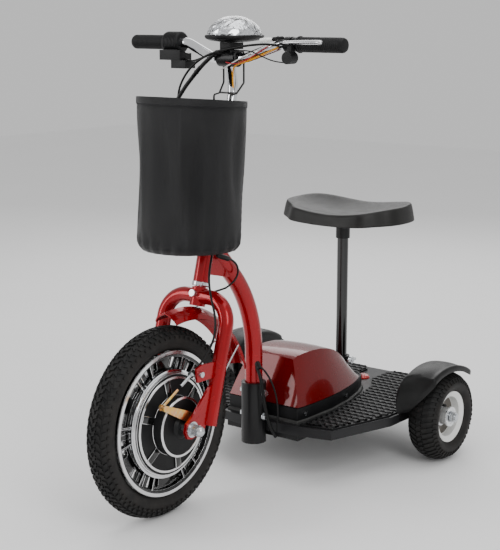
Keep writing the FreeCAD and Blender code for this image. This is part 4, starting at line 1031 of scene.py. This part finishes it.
def nylon():
    """Coated nylon: two sets of threads, with a painted highlight on the thread tops and painted shade between
    them.
    """
    finish = Finish("black_nylon", (0.006, 0.006, 0.007), 0.6, 0.0, specular_ior_level=0.45)
    uv = finish.node("ShaderNodeUVMap", {"uv_map": "weave"})
    parts = finish.node("ShaderNodeSeparateXYZ", {}, {0: uv.outputs[0]})
    across, up = Wire(finish, parts.outputs[0]), Wire(finish, parts.outputs[1])
    weave = (across * THREADS).sine() * (up * THREADS).sine()
    cloud = finish.noise(12, 4)
    # The weave part paints a highlight on each thread's top and shade in the gaps; the cloud part is random
    # tone.
    painted_weave_sheen_and_cloud = finish.ramp(weave, -0.6, 1.0) * 0.6 + finish.ramp(cloud, 0.35, 0.7) * 0.4
    finish.drive("Base Color", finish.mix(painted_weave_sheen_and_cloud, (0.003, 0.003, 0.0035), (0.013, 0.013, 0.015)))
    finish.drive("Roughness", 0.36 + 0.16 * cloud)
    return finish.bump(weave * 0.5 + cloud * 0.5, 0.0012).material


NYLON = nylon()
modify(basket_cloth, "SOLIDIFY", thickness=0.0014, offset=-1)
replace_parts(dress(basket_cloth, STEERING, "basket_cloth", NYLON), "basket")


# %% Hem and stitching
BAND_STEPS = 120


def band(name, low, high, proud, material, slot):
    """A strip of cloth that follows the basket's outline between two shares of its height."""
    profile = [(low, 0.0002), (low, proud), ((low + high) / 2, proud * 1.25), (high, proud), (high, 0.0002)]
    turns = [math.tau * step / BAND_STEPS for step in range(BAND_STEPS)]
    rings = [[cloth_point(turn, share) + out * Vector((math.cos(turn), math.sin(turn), 0)) for turn in turns]
             for share, out in profile]
    rings.append(rings[0])
    piece = lofted(name, rings, caps=False, smooth_angle=60)
    map_weave(piece)
    return dress(piece, STEERING, slot, material)


band("basket_hem", 0.958, 0.999, 0.0014, NYLON, "basket_cloth")
STITCH = moulded("stitch_thread", (0.02, 0.02, 0.022), 0.6)
band("hem_stitching", 0.954, 0.9565, 0.0012, STITCH, "basket_cloth")
band("base_seam", 0.028, 0.034, 0.0003, NYLON, "basket_cloth")

# %% [markdown]
# ## Headlight
# The headlight is a clear domed lens over a faceted bright reflector, on a black shell drawn out to a point
# at the back. The facets are real dents in the reflector, and the lens only ripples in its bump.

# %% Lens, reflector and shell
LAMP = middle("headlight_base")
LAMP.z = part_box("headlight_lens")[0].z
LAMP_HALF_WIDTH, LAMP_HALF_LENGTH = 0.057, 0.071
FACET_DEPTH, FACET_SCALE = 0.0035, 160


def lamp_ring(scale, height, point=0.0, count=48):
    """An egg-shaped outline about the lamp's middle, drawn out towards the back by a share."""
    ring = []
    for step in range(count):
        turn = math.tau * step / count
        x, y = LAMP_HALF_WIDTH * scale * math.cos(turn), LAMP_HALF_LENGTH * scale * math.sin(turn)
        pull = max(0, math.sin(turn)) ** 3 * point
        ring.append(LAMP + Vector((x * (1 - pull * 1.6), y + pull * 0.1, height)))
    return ring


reflector_rings = []
for index in range(9):
    share = index / 8
    ring = lamp_ring(0.9 * math.cos(share * 1.45), 0.002 + 0.039 * math.sin(share * math.pi / 2), 0, 30)
    dents = [FACET_DEPTH * noise.noise_vector(corner * FACET_SCALE) for corner in ring]
    reflector_rings.append([corner + dent for corner, dent in zip(ring, dents)])
reflector = lofted("lamp_reflector", reflector_rings, smooth_angle=0)
MIRROR = plated("faceted_reflector", (0.95, 0.96, 0.98), 0.08)
dress(reflector, STEERING, "chrome_plate", MIRROR)
print(reflector.name, len(reflector.data.polygons))


def lens_glass():
    finish = Finish("lens_glass", (0.98, 0.99, 1.0), 0.03, 0.0, transmission_weight=1.0, ior=1.35,
                    coat_weight=0.5)
    facets = finish.cells(150)
    finish.drive("Roughness", 0.02 + 0.06 * finish.noise(60))
    return finish.bump(facets, 0.0012).material


paint(lens_glass(), "headlight_lens")
SHELL = [  # size against the lens, height, how far the back is drawn out
    (0.45, -0.011, 0), (0.85, -0.0075, 0.1), (1.0, -0.003, 0.16), (1.03, 0.001, 0.18), (1.02, 0.0035, 0.17),
    (0.99, 0.0045, 0.1), (0.96, 0.002, 0.06)]
shell = lofted("lamp_shell", [lamp_ring(*station) for station in SHELL], smooth_angle=50)
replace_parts(dress(shell, STEERING, "black_plastic", CASE_BLACK), "headlight_base")
print(shell.name, len(shell.data.polygons))

# %% [markdown]
# ## Grips and lever
# The grips are spun with fine ribs, because a turned outline gives each ring its true step. The brake lever
# is a curved alloy blade with a rounded tip, lofted through oval sections.

# %% Ribbed grips
GRIP_Y, GRIP_Z = -0.085, 0.999
GRIP_RINGS, GRIP_VALLEY, GRIP_CREST = 22, 0.0148, 0.016


def ribbed_grip(name, side, start, end, bore, body, node, flange):
    """A rubber sleeve with raised rings, a flange at its inner end and a closed outer end."""
    outline = [(bore, start), (flange, start), (flange, start + 0.003)]
    length = (end - 0.006 - start - 0.005) / GRIP_RINGS
    for index in range(GRIP_RINGS):
        place = start + 0.005 + index * length
        outline += [(GRIP_VALLEY, place), (GRIP_CREST, place + length * 0.25),
                    (GRIP_CREST, place + length * 0.7)]
    outline += [(0.0155, end - 0.004), (0.0135, end - 0.0008), (0.009, end), (0.0002, end),
                (0.0002, end - 0.0027), (bore, end - 0.0027)]
    turned_outline = [(radius, side * across) for radius, across in outline]
    piece = turned(name, turned_outline, Vector((0, GRIP_Y, GRIP_Z)), 48, 40)
    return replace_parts(dress(piece, body, "grip_rubber", GRIP_BLACK), node)


ribbed_grip("left_grip_sleeve", 1, 0.176, 0.291, 0.0112, STEERING, "grip_left", 0.0178)
ribbed_grip("throttle_sleeve", -1, 0.194, 0.291, 0.0112, "throttle", "throttle_grip", 0.0178)


# %% Throttle collar ribs
COLLAR_RIBS, COLLAR_SPACING, COLLAR_CREST, COLLAR_VALLEY = 9, 0.0042, 0.0242, 0.0229
collar = [(0.0195, -0.146), (0.0235, -0.149)]
for index in range(COLLAR_RIBS):
    place = -0.1505 - index * COLLAR_SPACING
    collar += [(COLLAR_CREST, place), (COLLAR_CREST, place - 0.0026), (COLLAR_VALLEY, place - 0.003),
               (COLLAR_VALLEY, place - 0.0038)]
collar += [(0.022, -0.1915), (0.0113, -0.1932), (0.0113, -0.146)]
dress(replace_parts(turned("throttle_collar", collar, Vector((0, GRIP_Y, GRIP_Z)), 64, 40), "throttle_housing"),
      STEERING, "black_plastic", CASE_BLACK)

# %% Brake lever
LEVER_LINE = millimetres([
    (148, -119, 1004), (160, -121, 1004), (176, -124.5, 1004.3), (196, -126.5, 1004.6), (220, -130, 1005),
    (244, -135, 1005.4), (258, -138, 1005.6), (266, -139, 1005.6), (270, -138.5, 1005.6)])
LEVER_SIZE = [(5.5, 3), (6.8, 3), (5.4, 3.4), (5.0, 4.2), (5.2, 4.6), (5.4, 4.4), (5.8, 4.6), (6.2, 5.0),
              (3.4, 2.6)]


def oval_rings(line, sizes, count=20):
    """Oval sections square to a line; sizes are half width and half height in millimetres."""
    rings = []
    for index, (place, (half_width, half_height)) in enumerate(zip(line, sizes)):
        before, after = line[max(0, index - 1)], line[min(len(line) - 1, index + 1)]
        along = (after - before).normalized()
        aside = along.cross(Vector((0, 0, 1))).normalized()
        up = aside.cross(along)
        wide, high = aside * half_width / 1000, up * half_height / 1000
        turns = [math.tau * step / count for step in range(count)]
        rings.append([place + wide * math.cos(turn) + high * math.sin(turn) for turn in turns])
    return rings


lever = lofted("lever_blade", oval_rings(LEVER_LINE, LEVER_SIZE), smooth_angle=50)
modify(lever, "SUBSURF", levels=1, render_levels=1)
LEVER_ALLOY = plated("lever_alloy_finish", (0.8, 0.8, 0.82), 0.2)
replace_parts(dress(lever, "lever", "lever_alloy", LEVER_ALLOY), "brake_lever")
print(lever.name, len(lever.data.polygons))

# %% [markdown]
# ## Cables
# A cable could be a swept mesh, but a curve with a round bevel keeps its section true round every bend and
# its route easy to change. Each long cable is one smooth spline along the route of the tube it replaces.


# %% Cable helper
def cable_line(name, points, radius, material, fineness=6):
    """A round cable along a smooth line of the second degree."""
    curve = bpy.data.curves.new(name, "CURVE")
    curve.dimensions = "3D"
    curve.resolution_u = fineness
    curve.bevel_depth = radius
    curve.bevel_resolution = 3
    curve.use_fill_caps = True
    spline = curve.splines.new("NURBS")
    spline.points.add(len(points) - 1)
    for point, place in zip(spline.points, millimetres(points)):
        point.co = (*place, 1)
    spline.order_u = 3
    spline.use_endpoint_u = True
    piece = bpy.data.objects.new(name, curve)
    bpy.context.scene.collection.objects.link(piece)
    piece.data.materials.append(material)
    return piece


def cable(name, points, radius, body, slot, material, *nodes):
    """A cable that rides on one body, in place of the nodes that are named."""
    piece = cable_line(name, points, radius, material)
    if nodes:
        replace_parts(piece, *nodes)
    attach(piece, body)
    return piece


# %% Routes of the long cables
BRAKE_ROUTE = [(137, -104, 996), (118, -112, 1000), (84, -126, 998), (40, -131, 992), (-8, -131, 984),
               (-54, -132, 968), (-91, -138, 938), (-111, -147, 892), (-106, -143, 838), (-84, -128, 790),
               (-50, -107, 748), (-8, -101, 716), (24, -126, 684), (33, -158, 646), (31, -184, 600),
               (32, -203, 552), (38, -222, 508), (56, -237, 470), (78, -250, 440), (88, -259, 408),
               (87, -268, 380), (82, -286, 352), (78, -304, 335)]
MOTOR_ROUTE = [(-56, -188, 463), (-75, -187, 453), (-88, -194, 434), (-90, -206, 392), (-87, -219, 344),
               (-90, -233, 296), (-88, -245, 250), (-88, -249, 206), (-80, -273, 172), (-71, -308, 180),
               (-66, -331, 202)]
POWER_ROUTE = [(19, -26, 262), (30, -32, 252), (39, -34, 228), (44, -33, 190), (52, -30, 150), (60, -26, 122),
               (66, -16, 102)]
SIGNAL_ROUTE = [(19, -24, 268), (34, -26, 264), (52, -24, 246), (68, -20, 212), (74, -18, 172),
                (72, -18, 136), (66, -12, 112)]
LEAD_ROUTE = [(27.9, -137, 534), (28, -124, 529), (30, -110, 514), (30, -110, 494), (27, -126, 477),
              (24, -146, 470)]
cable("brake_outer", BRAKE_ROUTE, 0.0025, STEERING, "cable_rubber", CABLE_BLACK, "brake_cable")
cable("motor_cable", MOTOR_ROUTE, 0.0022, STEERING, "cable_rubber", CABLE_BLACK, "motor_lead")
cable("power_cable", POWER_ROUTE, 0.004, CHASSIS, "cable_rubber", CABLE_BLACK, "harness_cables")
cable("signal_cable", SIGNAL_ROUTE, 0.0022, CHASSIS, "cable_rubber", CABLE_BLACK)
cable("gusset_lead", LEAD_ROUTE, 0.0022, CHASSIS, "cable_rubber", CABLE_BLACK)

# %% [markdown]
# One short cable joins the frame to the fork, so it has to bend as the bars turn. A curve can't bend between
# two bodies, so this one is made a mesh.

# %% Bridge cable
def flexing_bridge():
    """The short cable between the gusset and the fork, made a mesh."""
    route = [(24, -146, 470), (10, -162, 463), (-18, -180, 455), (-42, -188, 456), (-56, -188, 463)]
    pick(cable_line("bridge_cable", route, 0.0022, CABLE_BLACK, fineness=8))
    bpy.ops.object.convert(target="MESH")
    piece = tidy_mesh(bpy.context.object)
    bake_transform(piece)
    print(piece.name, len(piece.data.polygons))


flexing_bridge()

# %% Loose wires at the bars
WIRES = [  # name, route, radius, colour
    ("throttle_wire",
     [(-128, -100, 964), (-104, -110, 958), (-70, -120, 964), (-36, -124, 976), (-8, -122, 984)],
     0.0024, (0.01, 0.01, 0.01)),
    ("sheath_lead",
     [(-16, -126, 980), (-40, -132, 962), (-66, -140, 932), (-92, -148, 900), (-112, -154, 866)],
     0.0045, (0.01, 0.01, 0.01)),
    ("orange_wire",
     [(128, -98, 992), (96, -104, 978), (58, -112, 962), (26, -116, 954), (14, -108, 938), (13, -104, 905)],
     0.0018, (0.75, 0.32, 0.01)),
    ("white_wire",
     [(118, -96, 1002), (84, -108, 988), (44, -116, 970), (16, -118, 956), (-10, -116, 944)],
     0.0014, (0.7, 0.7, 0.68)),
    ("red_wire",
     [(112, -97, 1000), (76, -112, 975), (48, -120, 960), (26, -122, 956), (4, -118, 960)],
     0.0011, (0.4, 0.01, 0.02)),
    ("horn_wire",
     [(166, -110, 962), (140, -118, 962), (104, -122, 974), (70, -124, 988), (30, -124, 984)],
     0.0014, (0.01, 0.01, 0.01)),
]
for name, points, radius, colour in WIRES:
    sheath = moulded(name + "_sheath", colour, 0.35, 1500, 0.00003)
    cable(name, points, radius, STEERING, "cable_rubber", sheath)
print(len(WIRES), "wires at the bars")


# %% Connectors and boots
def barrel_between(name, start, end, sections, body, slot, material):
    """A round piece along a straight line: sections are (share of the way, radius in millimetres)."""
    start, end = millimetres([start, end])
    along = end - start
    turn = along.to_track_quat("Z", "Y")
    rings = [round_section(start + along * share, turn, radius / 1000, 20) for share, radius in sections]
    return dress(lofted(name, rings), body, slot, material)


PLUG = [(0, 2.4), (0.06, 3.4), (0.1, 4.6), (0.45, 4.8), (0.47, 5.6), (0.56, 5.6), (0.58, 4.6), (0.9, 4.4),
        (1, 2.6)]
GROMMET = [(0, 6.8), (0.5, 6.4), (0.8, 5), (1, 4)]
SOCKET = [(0, 3.6), (0.08, 5.6), (0.9, 5.8), (1, 3)]
BOOT = [(0, 3.4), (0.2, 5.4), (0.8, 4.8), (1, 3.9)]
FITTINGS = [  # name, start, end, sections, body, slot, finish
    ("harness_grommet", (14, -21, 272), (29, -28, 262), GROMMET, CHASSIS, "cable_rubber", CABLE_BLACK),
    ("gusset_plug", (27, -180, 549), (28, -138, 534), SOCKET, CHASSIS, "black_plastic", CASE_BLACK),
    ("white_connector", (84, -104, 1006), (112, -96, 1009), PLUG, STEERING, "chrome_plate", REAR_WHITE),
    ("black_connector", (112, -96, 1009), (140, -92, 1012), PLUG, STEERING, "black_plastic", CASE_BLACK),
    ("sheath_joint", (-50, -136, 951), (-72, -142, 925), PLUG, STEERING, "cable_rubber", CABLE_BLACK),
    ("adjuster_boot", (78, -305, 334.5), (77.3, -330, 320), BOOT, STEERING, "cable_rubber", CABLE_BLACK),
]
for fitting in FITTINGS:
    barrel_between(*fitting)
print(len(FITTINGS), "fittings on the cables")

# %% [markdown]
# ## Floor
# The floor is a plain pale surface. A perfectly even tone looks painted in, so it drifts a little, slowly.

# %% Floor finish
floor_finish = Finish("studio_floor_paint", (0.86, 0.86, 0.86), 0.75)
drift = floor_finish.noise(2)
floor_finish.drive("Base Color", floor_finish.mix(drift, (0.92, 0.92, 0.92), (0.95, 0.95, 0.95)))
floor.data.materials.append(floor_finish.material)
